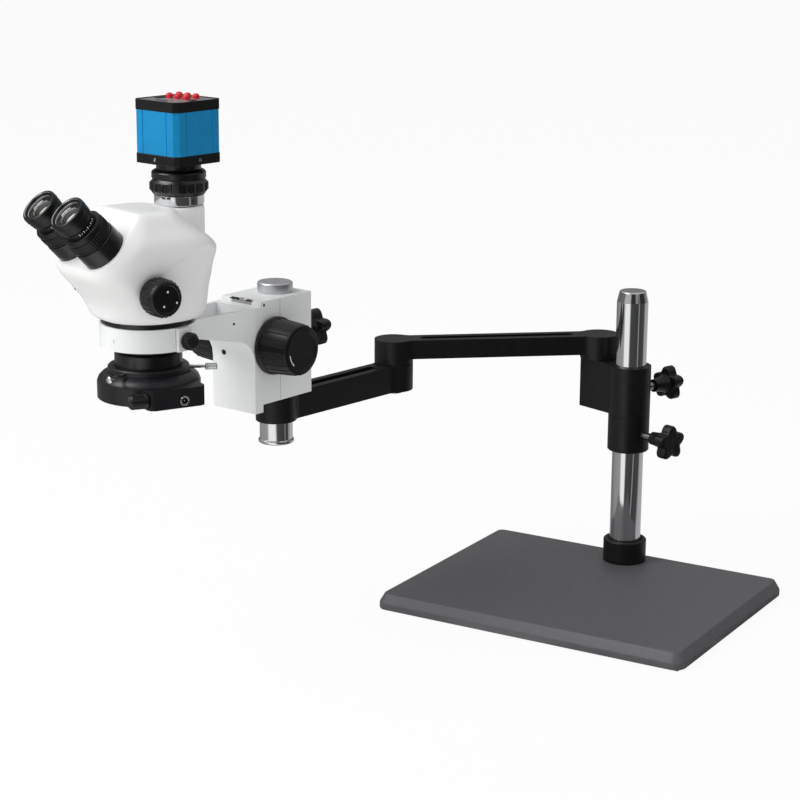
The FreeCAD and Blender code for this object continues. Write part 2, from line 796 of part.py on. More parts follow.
def build_focus_drive():
    """Pinion shaft in two bushes, with a fluted knob at each end."""
    across = pinion_frame()
    half = s.plate_width / 2
    teeth = doc.addObject("Part::Feature", "pinion_teeth")
    teeth.Shape = pinion_shape()
    place(teeth, across)
    reach = half + s.focus_knob_length - 6
    shaft = cylinder("pinion_shaft_rod", s.pinion_shaft_radius, 2 * reach,
                     across.at(0, 0, -reach))
    keep("pinion_shaft", fused("pinion_shaft_whole", teeth, shaft))
    inner = s.pinion_width / 2 + s.face_gap
    bushes = []
    for side, flip in (("right", 0), ("left", 180)):
        facing = across.turned("x", flip)
        bore = s.pinion_shaft_radius + s.running_gap
        bushes.append(revolved(f"pinion_bush_{side}", [
            (bore, inner), (s.bush_radius, inner), (s.bush_radius, half), (bore, half),
        ], facing))
        base = half + s.face_gap
        length = s.focus_knob_length
        rim = s.focus_knob_radius
        face = s.focus_knob_face_radius
        collar = s.focus_knob_flange
        outline = [
            (s.pinion_shaft_radius, 0), (rim - 1, 0), (rim, 1), (rim, collar - 1),
            (rim - 1, collar), (face + 1.5, length - 1.5), (face, length), (0, length),
            (0, length - 5.7), (s.pinion_shaft_radius, length - 5.7),
        ]
        seat = facing.at(0, 0, base)
        grip = fluted_knob(f"focus_knob_{side}", outline, seat, rim + 0.6,
                           length - collar, collar, 24, 2.4)
        keep(f"focus_knob_{side}", grip)
    keep("pinion_bushes", grouped("pinion_bushes_pair", *bushes))


def rail_start():
    """Height of the rail's lower end above the housing's."""
    return (s.block_height - s.rail_length) / 2 - 1


def build_slide():
    """Dovetail rail and rack, fixed to the back of the bracket's plate."""
    back_face = s.block_front + s.slide_gap + s.face_gap / 2
    rail_back = back_face - s.rail_thickness
    rack_back = rack_line() + 1.25 * s.pinion_module + s.rack_backing
    rack_half = s.rack_width / 2
    rail = extruded("slide_rail_body", [
        (-s.rail_front_width / 2, -back_face), (s.rail_front_width / 2, -back_face),
        (s.rail_back_width / 2, -rail_back), (rack_half, -rail_back),
        (rack_half, -rack_back), (-rack_half, -rack_back),
        (-rack_half, -rail_back), (-s.rail_back_width / 2, -rail_back),
    ], s.rail_length, focus_frame.at(0, 0, rail_start()))
    keep("slide_rail", rail)
    rack = doc.addObject("Part::Feature", "rack_bar")
    rack.Shape = rack_shape()
    place(rack, focus_frame.at(0, -rack_line(), s.pinion_height))
    keep("rack", rack)


def build_bracket():
    """Bracket: an upright plate, two tapering walls and the split ring that holds the head."""
    front = s.block_front + s.slide_gap + s.face_gap / 2
    plate_front = front + s.plate_thickness
    half = s.plate_width / 2
    bottom = -s.plate_drop
    top = bottom + s.plate_height
    plate = block("bracket_plate", (-half, half), (-plate_front, -front), (bottom, top),
                  focus_frame)
    ring = cylinder("bracket_ring", s.ring_radius, ring_height, ring_frame)
    ring_top = ring_level + ring_height
    far = s.ring_reach - s.ring_radius + 3
    near_half = half
    far_half = s.fork_ring_width / 2
    wall = s.fork_wall
    bend = s.fork_fillet
    under = top - s.fork_height
    web = extruded("bracket_web", [
        (-near_half, -plate_front + 1), (-far_half, -far), (-far_half, -s.ring_reach),
        (far_half, -s.ring_reach), (far_half, -far), (near_half, -plate_front + 1),
    ], s.fork_height + bend, focus_frame.at(0, 0, under - bend))
    side_on = focus_frame.at(half + 2, 0, 0).turned("z", -90).turned("x", 90)
    curve = [
        (plate_front + bend * (1 - math.cos(math.radians(angle))),
         under - bend * (1 - math.sin(math.radians(angle))))
        for angle in (90, 72, 54, 36, 18, 0)
    ]
    lower_trim = extruded("bracket_lower_trim", [
        (plate_front, under - bend - 1), (s.ring_reach, under - bend - 1),
        (s.ring_reach, ring_level), (far, ring_level), *curve,
    ], s.plate_width + 4, side_on)
    upper_trim = extruded("bracket_upper_trim", [
        (plate_front, top + 1), (plate_front, top), (far, ring_top), (s.ring_reach, ring_top),
        (s.ring_reach, top + 1),
    ], s.plate_width + 4, side_on)
    pocket_plan = extruded("bracket_pocket_plan", [
        (-near_half + wall, -plate_front), (-far_half + wall, -far),
        (far_half - wall, -far), (near_half - wall, -plate_front),
    ], s.fork_height + bend, focus_frame.at(0, 0, under))
    pocket_side = extruded("bracket_pocket_side", [
        (plate_front, under + wall), (far, ring_level + wall), (far, top + 1),
        (plate_front, top + 1),
    ], s.plate_width + 4, side_on)
    pocket = shared("bracket_pocket", pocket_plan, pocket_side)
    solid = fused("bracket_solid", plate, ring,
                  cut("bracket_arms", web, lower_trim, upper_trim, pocket))
    lug = block("bracket_lug", (s.ring_bore_radius, s.lug_reach),
                (-s.lug_width / 2, s.lug_width / 2), (0, ring_height), ring_frame)
    bore = cylinder("bracket_bore", s.ring_bore_radius, ring_height + 2,
                    ring_frame.at(0, 0, -1))
    tapping_frame = ring_frame.at(0, 0, ring_height / 2 - 1).turned("y", 90)
    tapping = cylinder("bracket_tapping", s.thumbscrew_stem_radius + s.running_gap,
                       s.lug_reach + 2, tapping_frame)
    whole = cut("bracket_cut", fused("bracket_cast", solid, lug), bore, tapping)
    keep("ring_bracket", whole)
    neck = s.lug_reach + s.face_gap
    tip = s.ring_bore_radius + s.face_gap
    radius = s.thumbscrew_radius
    length = s.thumbscrew_length
    screw = fluted_knob("ring_thumbscrew", [
        (0, tip), (s.thumbscrew_stem_radius, tip), (s.thumbscrew_stem_radius, neck),
        (radius - 1, neck), (radius, neck + 1), (radius, neck + length - 1),
        (radius - 1, neck + length), (0, neck + length),
    ], tapping_frame, radius + 0.5, length, neck, 18, 1.0)
    keep("ring_thumbscrew", screw)


def build_barrel():
    """The black barrel that seats the head in the ring, and the objective lens in its nose."""
    bottom = ring_height + s.face_gap
    top = bottom + s.head_flange_height
    barrel = s.ring_bore_radius - s.running_gap
    nose = -s.nose_drop
    end = -s.nose_length
    thread = end + s.objective_thread_depth
    lens_top = thread + s.objective_thickness + 0.5
    body = revolved("body_barrel_body", [
        (0, top), (s.head_flange_radius, top), (s.head_flange_radius, bottom),
        (barrel, bottom), (barrel, 0), (s.nose_radius, 0), (s.nose_radius, nose),
        (s.nose_neck_radius, nose - 3), (s.nose_neck_radius, end),
        (s.objective_thread_radius, end), (s.objective_thread_radius, thread),
        (s.objective_radius, thread), (s.objective_radius, lens_top),
        (s.objective_thread_radius, lens_top), (s.objective_thread_radius, 0), (0, 0),
    ], head_frame)
    keep("body_barrel", body)
    radius = s.objective_radius - s.running_gap
    lens = revolved("objective_lens_body", [
        (0, thread), (radius, thread), (radius, thread + s.objective_thickness),
        (0, thread + s.objective_thickness),
    ], head_frame)
    keep("objective_lens", lens)


def head_section(height, half_width, front, back, corner):
    """One level of the head's housing: a rectangle with rounded corners."""
    x, f, b, z, r = half_width, -front, back, height, corner
    quarter = r * math.sqrt(0.5)

    def spot(px, py):
        return FreeCAD.Vector(px, py, z)

    def bend(start, cx, cy, sx, sy, end):
        return Part.Arc(start, spot(cx + sx * quarter, cy + sy * quarter), end).toShape()

    edges = [
        Part.makeLine(spot(-x + r, f), spot(x - r, f)),
        bend(spot(x - r, f), x - r, f + r, 1, -1, spot(x, f + r)),
        Part.makeLine(spot(x, f + r), spot(x, b - r)),
        bend(spot(x, b - r), x - r, b - r, 1, 1, spot(x - r, b)),
        Part.makeLine(spot(x - r, b), spot(-x + r, b)),
        bend(spot(-x + r, b), -x + r, b - r, -1, 1, spot(-x, b - r)),
        Part.makeLine(spot(-x, b - r), spot(-x, f + r)),
        bend(spot(-x, f + r), -x + r, f + r, -1, -1, spot(-x + r, f)),
    ]
    return Part.Wire(edges)


# Levels of the head's housing, each as shares of its height, half width, nose reach and
# back, with the share of that level's half width that its corners are rounded by.
HEAD_LEVELS = [
    (0.0, 0.795, 0.582, 0.817, 0.95),
    (0.06, 0.9, 0.66, 0.915, 0.8),
    (0.16, 0.925, 0.712, 0.935, 0.74),
    (0.27, 0.925, 0.81, 0.935, 0.68),
    (0.375, 0.935, 0.918, 0.935, 0.58),
    (0.48, 0.96, 1.0, 0.945, 0.54),
    (0.56, 0.985, 1.0, 0.97, 0.52),
    (0.63, 1.0, 0.95, 1.0, 0.5),
    (0.7, 0.995, 0.885, 0.96, 0.52),
    (0.82, 0.88, 0.74, 0.69, 0.56),
    (0.93, 0.73, 0.6, 0.46, 0.55),
    (1.0, 0.53, 0.55, 0.3, 0.5),
]
# The crease above each side hollow, as shares of the nose reach and the height.
SIDE_CREASE = [(0.27, 0.3), (0.247, 0.427), (0.014, 0.57), (-0.356, 0.682), (-0.63, 0.7)]


def build_head():
    """Moulded housing: lofted levels, cut by the sloping eyepiece face, with side hollows."""
    level = ring_height + s.head_flange_height + s.face_gap
    half = s.head_width / 2
    reach = s.head_nose_reach
    tall = s.head_height
    sections = [
        head_section(height * tall.number, width * half.number, front * reach.number,
                     back * s.head_back.number, corner * width * half.number)
        for height, width, front, back, corner in HEAD_LEVELS
    ]
    loft = doc.addObject("Part::Feature", "head_loft")
    loft.Shape = Part.makeLoft(sections, True, False)
    place(loft, head_frame.at(0, 0, level))
    outline = [(forward * reach, up * tall) for forward, up in SIDE_CREASE]
    outline += [(-reach, 0.7 * tall), (-reach, -1), (0.27 * reach, -1)]
    side = s.head_side_width / 2
    depth = half - side + 5
    hollows = [
        extruded("head_side_hollow", outline, depth,
                 head_frame.at(start, 0, level).turned("z", -90).turned("x", 90))
        for start in (side + depth, -side)
    ]
    slope_top = eyetube_frame(0)
    half_block = 80
    slope_cut = block("head_slope_cut", (-half_block, half_block), (-half_block, half_block),
                      (0, half_block), slope_top)
    tube_start = 0.66 * tall
    port = cylinder("head_port_tube", s.port_radius, tall - tube_start,
                    head_frame.at(0, s.port_back, level + tube_start))
    corbel = cone("head_port_corbel", s.port_radius / 2, s.port_radius, s.port_radius,
                  head_frame.at(0, s.port_back, level + tube_start - s.port_radius))
    port_bore = cylinder("head_port_bore", s.port_bore_radius, s.head_height * 0.12,
                         head_frame.at(0, s.port_back, level + s.head_height * 0.88))
    zoom_bore = cylinder("head_zoom_bore", s.zoom_shaft_radius + s.running_gap,
                         s.head_width + 4, zoom_frame().at(0, 0, -s.head_width / 2 - 2))
    knob_start = s.zoom_knob_face - s.zoom_knob_length - s.face_gap
    recesses = [
        cylinder("head_knob_recess", s.zoom_knob_radius + 1.5, s.head_width / 2,
                 zoom_frame().turned("x", flip).at(0, 0, knob_start))
        for flip in (0, 180)
    ]
    pivot_depth = s.eyetube_pivot_depth + s.face_gap
    pivot_bores = [
        cylinder("head_pivot_bore", s.eyetube_pivot_radius + s.running_gap, pivot_depth + 1,
                 eyetube_pivot_frame(side).at(0, 0, -pivot_depth))
        for side in (1, -1)
    ]
    sloped = cut("head_sloped", loft, slope_cut, *hollows)
    whole = cut("head_bored", fused("head_with_port", sloped, port, corbel), port_bore,
                zoom_bore, *recesses, *pivot_bores)
    keep("head_shell", whole)


def zoom_frame():
    """On the zoom axis at the head's middle plane, with Z along it to the right."""
    height = s.zoom_height - s.ring_bottom
    return head_frame.at(0, -s.zoom_forward, height).turned("y", 90)


def build_zoom():
    """Through shaft of the zoom drive with a fluted knob at each side."""
    across = zoom_frame()
    reach = s.zoom_knob_face - 5
    shaft = cylinder("zoom_shaft_rod", s.zoom_shaft_radius, 2 * reach, across.at(0, 0, -reach))
    keep("zoom_shaft", shaft)
    start = s.zoom_knob_face - s.zoom_knob_length
    radius = s.zoom_knob_radius
    length = s.zoom_knob_length
    bore = s.zoom_shaft_radius
    for side, flip in (("right", 0), ("left", 180)):
        knob = fluted_knob(f"zoom_knob_{side}", [
            (bore, 0), (radius - 1.5, 0), (radius, 1.5), (radius, length - 1.5),
            (radius - 1.5, length), (0, length), (0, length - 5), (bore, length - 5),
        ], across.turned("x", flip).at(0, 0, start), radius + 0.7, length - 4, 2, 24, 1.7)
        keep(f"zoom_knob_{side}", knob)


def eyetube_frame(side):
    """Where one eyetube meets the sloping face, with Z out along the tube."""
    forward = s.slope_start - s.eyepiece_height
    height = s.eyepiece_height - s.ring_bottom
    return head_frame.at(side * s.eyepiece_spacing / 2, -forward, height).turned(
        "x", s.slope_angle)


def eyetube_pivot_frame(side):
    """On the axis that one eyetube turns about, below its own axis on the slope."""
    return eyetube_frame(side).at(0, -s.eyetube_pivot_offset, 0)


def build_eyetube(name, side):
    """One eyetube on its pivot, with its diopter ring, eyepiece and eye lens."""
    frame = eyetube_frame(side)
    gap = s.face_gap
    flange_top = gap + s.eyetube_flange_height
    sleeve = s.eyetube_sleeve_radius
    bore = s.eyetube_bore_radius + s.running_gap
    ring_start = s.eyetube_length + gap
    ring_end = ring_start + s.diopter_length
    tube = revolved(f"eyetube_{name}_body", [
        (bore, flange_top), (bore, ring_end), (sleeve, ring_end), (sleeve, s.eyetube_length),
        (s.eyetube_radius, s.eyetube_length), (s.eyetube_radius + 0.3, flange_top),
        (s.eyetube_flange_radius, flange_top), (s.eyetube_flange_radius, gap), (0, gap),
        (0, flange_top),
    ], frame)
    pivot = cylinder(f"eyetube_{name}_pivot", s.eyetube_pivot_radius,
                     s.eyetube_pivot_depth + gap,
                     eyetube_pivot_frame(side).at(0, 0, -s.eyetube_pivot_depth))
    keep(f"eyetube_{name}", fused(f"eyetube_{name}_whole", tube, pivot))
    outer = s.diopter_radius
    inner = sleeve + s.running_gap
    ring = fluted_knob(f"diopter_{name}", [
        (inner, ring_start), (outer - 0.6, ring_start), (outer, ring_start + 0.6),
        (outer, ring_end - 1.4), (outer - 1.1, ring_end - gap), (inner, ring_end - gap),
    ], frame, outer + 0.5, s.diopter_length / 2, ring_start + 3, 36, 0.9)
    keep(f"diopter_ring_{name}", ring)
    seat = ring_end
    end = seat + s.eyepiece_length
    rim = s.eyepiece_rim_radius
    waist = s.eyepiece_waist_radius
    stem = s.eyetube_bore_radius
    lens = s.eye_lens_radius
    field = end - 6
    eyepiece = revolved(f"eyepiece_{name}_body", [
        (0, flange_top + 3), (stem, flange_top + 3), (stem, seat), (waist, seat),
        (waist, seat + 3), (rim - 0.8, end - 8), (rim, end - 6.5), (rim, end - 1),
        (rim - 1, end), (lens + 1.4, end), (lens, end - 2), (lens, field), (0, field),
    ], frame)
    keep(f"eyepiece_{name}", eyepiece)
    radius = lens - s.running_gap
    glass = revolved(f"eye_lens_{name}_body", [
        (0, field), (radius, field), (radius, field + 2), (radius * 0.6, field + 3),
        (0, field + 3.4),
    ], frame)
    keep(f"eye_lens_{name}", glass)


def port_frame():
    """On the photo port's axis at the top of its tube."""
    level = ring_height + s.head_flange_height + s.face_gap + s.head_height
    return head_frame.at(0, s.port_back, level)


def build_relay():
    """Chrome seat ring, ribbed focus ring and camera mount on the photo port."""
    frame = port_frame()
    gap = s.face_gap
    top = s.port_ring_height
    rim = s.port_ring_radius
    bore = s.port_bore_radius
    seat = revolved("port_ring_body", [
        (bore, 0), (rim - 0.5, 0), (rim, 0.5), (rim, top - 0.5), (rim - 0.5, top), (bore, top),
    ], frame)
    keep("port_ring", seat)
    start = top + gap
    end = start + s.relay_height - gap
    radius = s.relay_radius
    inner = s.relay_sleeve_radius + s.running_gap
    ring = fluted_knob("relay_focus_ring", [
        (inner, start), (radius - 2, start), (radius - 0.2, start + 2), (radius, start + 3),
        (radius, end - 3), (radius - 1.5, end), (inner, end),
    ], frame, radius + 0.4, s.relay_height - 6, start + 3, 20, 1.5)
    keep("relay_focus_ring", ring)
    base = end + gap
    mount_top = base + s.mount_height
    neck_top = mount_top + s.mount_neck_height
    sleeve = s.relay_sleeve_radius
    mount = revolved("camera_mount_body", [
        (0, 1), (sleeve, 1), (sleeve, base), (s.mount_radius, base),
        (s.mount_radius, mount_top - 2), (s.mount_neck_radius + 1.5, mount_top),
        (s.mount_neck_radius, mount_top), (s.mount_neck_radius, neck_top), (0, neck_top),
    ], frame)
    keep("camera_mount", mount)
    return neck_top


def square_section(name, side, corner, height, frame):
    """A square column with its upright edges chamfered."""
    half = side / 2
    inner = half - corner
    return extruded(name, [
        (-inner, -half), (inner, -half), (half, -inner), (half, inner),
        (inner, half), (-inner, half), (-half, inner), (-half, -inner),
    ], height, frame)


def build_camera(neck_top):
    """Camera: an extruded body between two end caps, with a keypad panel on top."""
    frame = port_frame().turned("z", s.camera_angle).at(0, 0, neck_top)
    lower = square_section("camera_lower_cap_body", s.camera_side, s.camera_corner,
                           s.camera_lower_cap, frame)
    keep("camera_lower_cap", lower)
    body_frame = frame.at(0, 0, s.camera_lower_cap)
    shell = square_section("camera_case_body", s.camera_side - 0.8, s.camera_corner,
                           s.camera_body_height, body_frame)
    grooves = []
    half = s.camera_side / 2 - 0.4
    for turn in ring_of(4):
        for across in (-1, 1):
            x = across * s.camera_side * 0.27
            grooves.append(block("camera_groove", (x - 0.5, x + 0.5), (-half - 1, -half + 0.7),
                                 (-1, s.camera_body_height + 1),
                                 body_frame.turned("z", turn)))
    keep("camera_case", cut("camera_case_cut", shell, *grooves))
    cap_frame = body_frame.at(0, 0, s.camera_body_height)
    cap = square_section("camera_upper_cap_body", s.camera_side, s.camera_corner,
                         s.camera_upper_cap, cap_frame)
    panel_top = s.camera_upper_cap - s.camera_panel_depth
    panel_bottom = panel_top - s.camera_panel_thickness
    recess = square_section("camera_recess", s.camera_side - 2 * s.camera_rim,
                            s.camera_corner, s.camera_upper_cap, cap_frame.at(0, 0, panel_bottom))
    holes = []
    panel_holes = []
    buttons = []
    for row in range(2):
        for column in range(3):
            x = (column - 1) * s.button_pitch_x - 2
            y = row * s.button_pitch_y + 2.5
            spot = cap_frame.at(x, y, 0)
            radius = s.button_radius
            hole = radius + s.face_gap
            pocket = 2 * s.button_travel + s.face_gap
            holes.append(cylinder("camera_button_pocket", hole, pocket + 1,
                                  spot.at(0, 0, panel_bottom - pocket)))
            panel_holes.append(cylinder("camera_panel_hole", hole, s.camera_upper_cap,
                                        spot.at(0, 0, panel_bottom - 1)))
            base = panel_bottom - s.button_travel
            top = panel_top + s.button_height
            buttons.append(revolved(f"button_{row}_{column}", [
                (0, base), (radius, base), (radius, top - 2), (radius * 0.75, top - 0.7),
                (radius * 0.4, top - 0.1), (0, top),
            ], spot))
    keep("camera_upper_cap", cut("camera_upper_cap_cut", cap, recess, *holes))
    panel = square_section("camera_panel_body", s.camera_side - 2 * s.camera_rim - 0.2,
                           s.camera_corner, s.camera_panel_thickness,
                           cap_frame.at(0, 0, panel_bottom))
    keep("camera_panel", cut("camera_panel_cut", panel, *panel_holes))
    for number, button in enumerate(buttons, start=1):
        keep(f"camera_button_{number}", button)


def build_light():
    """Ring light: housing with its control box, lamp board, screws, dimmer and inlet."""
    frame = light_frame
    outer = s.light_radius
    wall = s.light_wall_height
    collar = s.light_collar_radius
    top = s.light_collar_top
    bore = s.light_bore_radius
    recess = s.light_recess_depth
    inner = bore + 1.2
    ring = revolved("ring_light_ring", [
        (bore, 0), (inner, 0), (inner, recess), (s.light_recess_radius, recess),
        (s.light_recess_radius, 0), (outer - 0.6, 0), (outer, 0.6), (outer, wall),
        (outer - 1.6, wall + 4), (outer - 4.6, s.light_shoulder - 1.8),
        (collar + 1.5, s.light_shoulder), (collar, s.light_shoulder), (collar, top - 1),
        (collar - 1, top), (bore, top),
    ], frame)
    corner = s.control_corner
    reach = s.control_reach
    forward = s.control_forward
    back = s.control_back
    box = extruded("control_box", [
        (s.light_recess_radius - 20, -forward), (reach - corner, -forward),
        (reach - corner * 0.3, -forward + corner * 0.3), (reach, -forward + corner),
        (reach, back - corner), (reach - corner * 0.3, back - corner * 0.3),
        (reach - corner, back), (s.light_recess_radius - 20, back),
    ], s.control_height, frame)
    hollow = cylinder("ring_light_hollow", outer - 1, s.control_height, frame)
    box_outside = cut("control_box_outside", box, hollow)
    solid = fused("ring_light_solid", ring, box_outside)
    jack_frame = frame.at(reach, 9.5, s.control_height / 2 - 2.5).turned("y", 90)
    jack_hole = cylinder("ring_light_jack_hole", s.jack_radius - 0.5 + s.running_gap,
                         s.jack_depth, jack_frame.at(0, 0, -s.jack_depth + 0.01))
    dimmer_frame = frame.at(reach - s.dimmer_inset, -forward, s.control_height / 2).turned(
        "x", 90)
    dimmer_hole = cylinder("ring_light_dimmer_hole", 3 + s.running_gap, 8,
                           dimmer_frame.at(0, 0, -7))
    screw_level = frame.at(0, 0, (s.light_shoulder + top) / 2).turned("z", s.light_screw_angle)
    rod = s.light_screw_rod_radius
    tappings = []
    screws = []
    for number, angle in enumerate(ring_of(3), start=1):
        outward = screw_level.turned("z", angle).turned("y", 90)
        tappings.append(cylinder("ring_light_tapping", rod + s.running_gap, collar + 2,
                                 outward))
        tip = s.nose_neck_radius + s.face_gap
        neck = collar + s.light_screw_rod
        head = s.light_screw_head_radius
        end = neck + s.light_screw_head
        screws.append(revolved(f"light_screw_{number}_body", [
            (0, tip), (rod, tip), (rod, neck), (head - 0.4, neck), (head, neck + 0.4),
            (head, end - 0.5), (head - 0.5, end), (0, end),
        ], outward))
    keep("ring_light_housing",
         cut("ring_light_cut", solid, jack_hole, dimmer_hole, *tappings))
    for number, screw in enumerate(screws, start=1):
        keep(f"light_screw_{number}", screw)
    lamps = revolved("ring_light_lamps_body", [
        (inner + 0.2, 1), (s.light_recess_radius - 0.2, 1),
        (s.light_recess_radius - 0.2, recess), (inner + 0.2, recess),
    ], frame)
    keep("ring_light_lamps", lamps)
    radius = s.dimmer_radius
    length = s.dimmer_length
    dimmer = fluted_knob("dimmer_knob", [
        (0, -6), (3, -6), (3, s.face_gap), (radius + 0.6, s.face_gap), (radius + 0.6, 3),
        (radius, 3.5), (radius - 0.8, length - 1), (radius - 1.8, length), (0, length),
    ], dimmer_frame, radius + 0.4, length, 4, 18, 0.9)
    keep("dimmer_knob", dimmer)
    rim = s.jack_radius
    depth = s.jack_depth
    jack = revolved("dc_jack_body", [
        (0, -depth + 0.5), (rim - 0.5, -depth + 0.5), (rim - 0.5, 0), (rim, 0), (rim, 0.7),
        (3, 0.7), (3, -depth + 2), (1, -depth + 2), (1, -0.5), (0, -0.5),
    ], jack_frame)
    keep("dc_jack", jack)


build_base()
build_pole()
build_collar()
build_clamp()
build_arms()
build_spindle()
build_focus_block()
build_focus_drive()
build_slide()
build_bracket()
build_barrel()
build_head()
build_zoom()
build_eyetube("right", 1)
build_eyetube("left", -1)
build_camera(build_relay())
build_light()

doc.recompute()
for item in doc.Objects:
    if "Invalid" in item.State or "Error" in item.State:
        raise RuntimeError(f"{item.Name} ({item.Label}) did not build: {item.State}")
for piece in subparts:
    if piece.Shape.isNull() or not piece.Shape.isValid() or not piece.Shape.Solids:
        raise RuntimeError(f"{piece.Label} has no valid solid")
os.makedirs("parts", exist_ok=True)
for piece in subparts:
    piece.Shape.exportStep(f"parts/{piece.Label}.step")
print(f"{len(subparts)} sub-parts written")
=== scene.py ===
import json
import math

import bmesh
import bpy
from bpy.props import FloatProperty, FloatVectorProperty, IntProperty, PointerProperty
from mathutils import Matrix, Vector


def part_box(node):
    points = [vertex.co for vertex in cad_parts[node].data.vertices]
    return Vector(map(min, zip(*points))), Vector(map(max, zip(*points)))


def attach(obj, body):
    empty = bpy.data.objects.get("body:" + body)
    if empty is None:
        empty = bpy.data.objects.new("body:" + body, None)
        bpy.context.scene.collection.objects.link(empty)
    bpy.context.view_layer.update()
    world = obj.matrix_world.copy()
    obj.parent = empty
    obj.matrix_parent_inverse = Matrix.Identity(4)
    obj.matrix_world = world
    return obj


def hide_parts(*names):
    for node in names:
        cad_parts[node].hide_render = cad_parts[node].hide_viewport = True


bl_info = {
    "name": "Stereo Microscope on a Boom Stand",
    "version": (1, 0, 0),
    "blender": (4, 5, 0),
    "location": "3D View > Sidebar > Microscope",
    "description": "Models the outside of a boom stand stereo microscope over its solids",
    "category": "Object",
}

# Lengths inside the pieces are millimetres; a space turns them into metres in the scene.
MM = 0.001
UP = Vector((0, 0, 1))

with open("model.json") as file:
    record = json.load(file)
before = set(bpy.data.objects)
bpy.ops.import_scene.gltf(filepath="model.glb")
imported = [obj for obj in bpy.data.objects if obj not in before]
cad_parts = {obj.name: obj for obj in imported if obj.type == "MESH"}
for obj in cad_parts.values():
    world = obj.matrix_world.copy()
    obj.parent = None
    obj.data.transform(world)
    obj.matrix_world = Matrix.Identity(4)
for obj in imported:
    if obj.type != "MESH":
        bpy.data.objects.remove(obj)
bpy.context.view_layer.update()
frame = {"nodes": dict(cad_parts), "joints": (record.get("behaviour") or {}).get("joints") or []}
joints = {joint["name"]: joint for joint in frame["joints"]}


def space(origin, z_axis, x_axis):
    """A place to model in: millimetres along its own axes, turned into the frame's metres."""
    z = Vector(z_axis).normalized()
    x = Vector(x_axis)
    x = (x - x.dot(z) * z).normalized()
    turn = Matrix((x, z.cross(x), z)).transposed().to_4x4()
    return Matrix.Translation(origin) @ turn @ Matrix.Scale(MM, 4)


def joint_axis(name):
    return Vector(joints[name]["axis"])


def facing(point, normal):
    """A space on a wall of the focus block or bracket, at a point of the focus space."""
    return space(FOCUS @ Vector(point), FOCUS.to_3x3() @ Vector(normal), UP)


def upright(joint, x_axis):
    """A level space round a joint's upright axis, with heights counted from the bench."""
    x, y, _ = joints[joint]["pos_m"]
    return space((x, y, 0), UP, x_axis)


def along(joint, x_axis=UP):
    """A space whose Z runs along a joint's axis, starting at the joint's own point."""
    return space(joints[joint]["pos_m"], joint_axis(joint), x_axis)


def extent(node, place):
    """Lowest and highest corners of a CAD node in a space, in its millimetres."""
    inverse = place.inverted()
    points = [inverse @ vertex.co for vertex in frame["nodes"][node].data.vertices]
    low = Vector(min(point[axis] for point in points) for axis in range(3))
    high = Vector(max(point[axis] for point in points) for axis in range(3))
    return low, high


ACROSS_FOCUS = joint_axis("focus_knob_turn")
ACROSS_HEAD = joint_axis("zoom_turn")
LIGHT_FRONT = joint_axis("dimmer_turn")
BENCH = Matrix.Scale(MM, 4)
POLE = upright("clamp_swing", (1, 0, 0))
FOCUS = upright("focus_swing", ACROSS_FOCUS)
HEAD = upright("head_turn", ACROSS_HEAD)
PORT = upright("camera_turn", ACROSS_HEAD)
LIGHT = upright("light_turn", UP.cross(LIGHT_FRONT))


# Colours


def linear(hex_colour):
    """Linear colour, as the shaders want it, from an sRGB hex value."""
    values = [int(hex_colour[start:start + 2], 16) / 255 for start in (1, 3, 5)]
    return tuple(
        value / 12.92 if value <= 0.04045 else ((value + 0.055) / 1.055) ** 2.4
        for value in values
    )


def colour_setting(name, text, hex_colour):
    return FloatVectorProperty(
        name=name, description=text, subtype="COLOR", size=3, min=0, max=1,
        default=linear(hex_colour))


class FinishSettings(bpy.types.PropertyGroup):
    """Colours of the finishes."""

    base_grey: colour_setting(
        "Base Grey", "Powder coat of the base plate", "#5c5c5f")
    cast_black: colour_setting(
        "Arm Black", "Satin coat of the arms, clamp and collar", "#101112")
    grip_black: colour_setting(
        "Grip Black", "Moulded plastic of the knobs and grips", "#0d0e0f")
    block_grey: colour_setting(
        "Block Grey", "Light enamel of the focus block and bracket", "#eef0f0")
    shell_white: colour_setting(
        "Shell White", "Gloss plastic of the microscope's housing", "#f6f6f5")
    camera_blue: colour_setting(
        "Camera Blue", "Anodised body of the camera", "#149ede")
    button_red: colour_setting(
        "Button Red", "Keypad buttons of the camera", "#d8303c")


class ShapeSettings(bpy.types.PropertyGroup):
    """Sizes of the modelled detail."""

    turned_steps: IntProperty(
        name="Steps per Turn", description="Faces round a full turn of a turned piece",
        default=96, min=24, max=256)
    shell_voxel: FloatProperty(
        name="Shell Voxel", description="Grid that the moulded housing is rebuilt on",
        default=0.0012, min=0.0008, max=0.004, unit="LENGTH")
    shell_smoothing: IntProperty(
        name="Shell Smoothing", description="How often the housing's edges are eased",
        default=28, min=0, max=60)
    lamp_rows: IntProperty(
        name="Lamp Rows", description="Rows of lamps in the ring light",
        default=3, min=1, max=4)
    lamps_per_row: IntProperty(
        name="Lamps per Row", description="Lamps in each row of the ring light",
        default=48, min=12, max=72)


class StageSettings(bpy.types.PropertyGroup):
    """Camera, lamps and backdrop."""

    focal_length: FloatProperty(
        name="Focal Length", description="Of the camera, in millimetres",
        default=96.75, min=20, max=200)
    key_power: FloatProperty(
        name="Key Lamp", description="Power of the large lamp at the left, in watts",
        default=47.0, min=0, max=500)
    fill_power: FloatProperty(
        name="Fill Lamp", description="Power of the lamp at the right, in watts",
        default=1.5, min=0, max=500)
    sky_strength: FloatProperty(
        name="Sky Strength", description="Light of the pale surroundings",
        default=0.5, min=0, max=2)
    floor_glow: FloatProperty(
        name="Floor Glow", description="Share of plain white in the floor that the camera sees",
        default=0.93, min=0, max=1)
    floor_colour: colour_setting(
        "Floor Colour", "Of the floor that the base stands on", "#f7f7f7")


# Materials


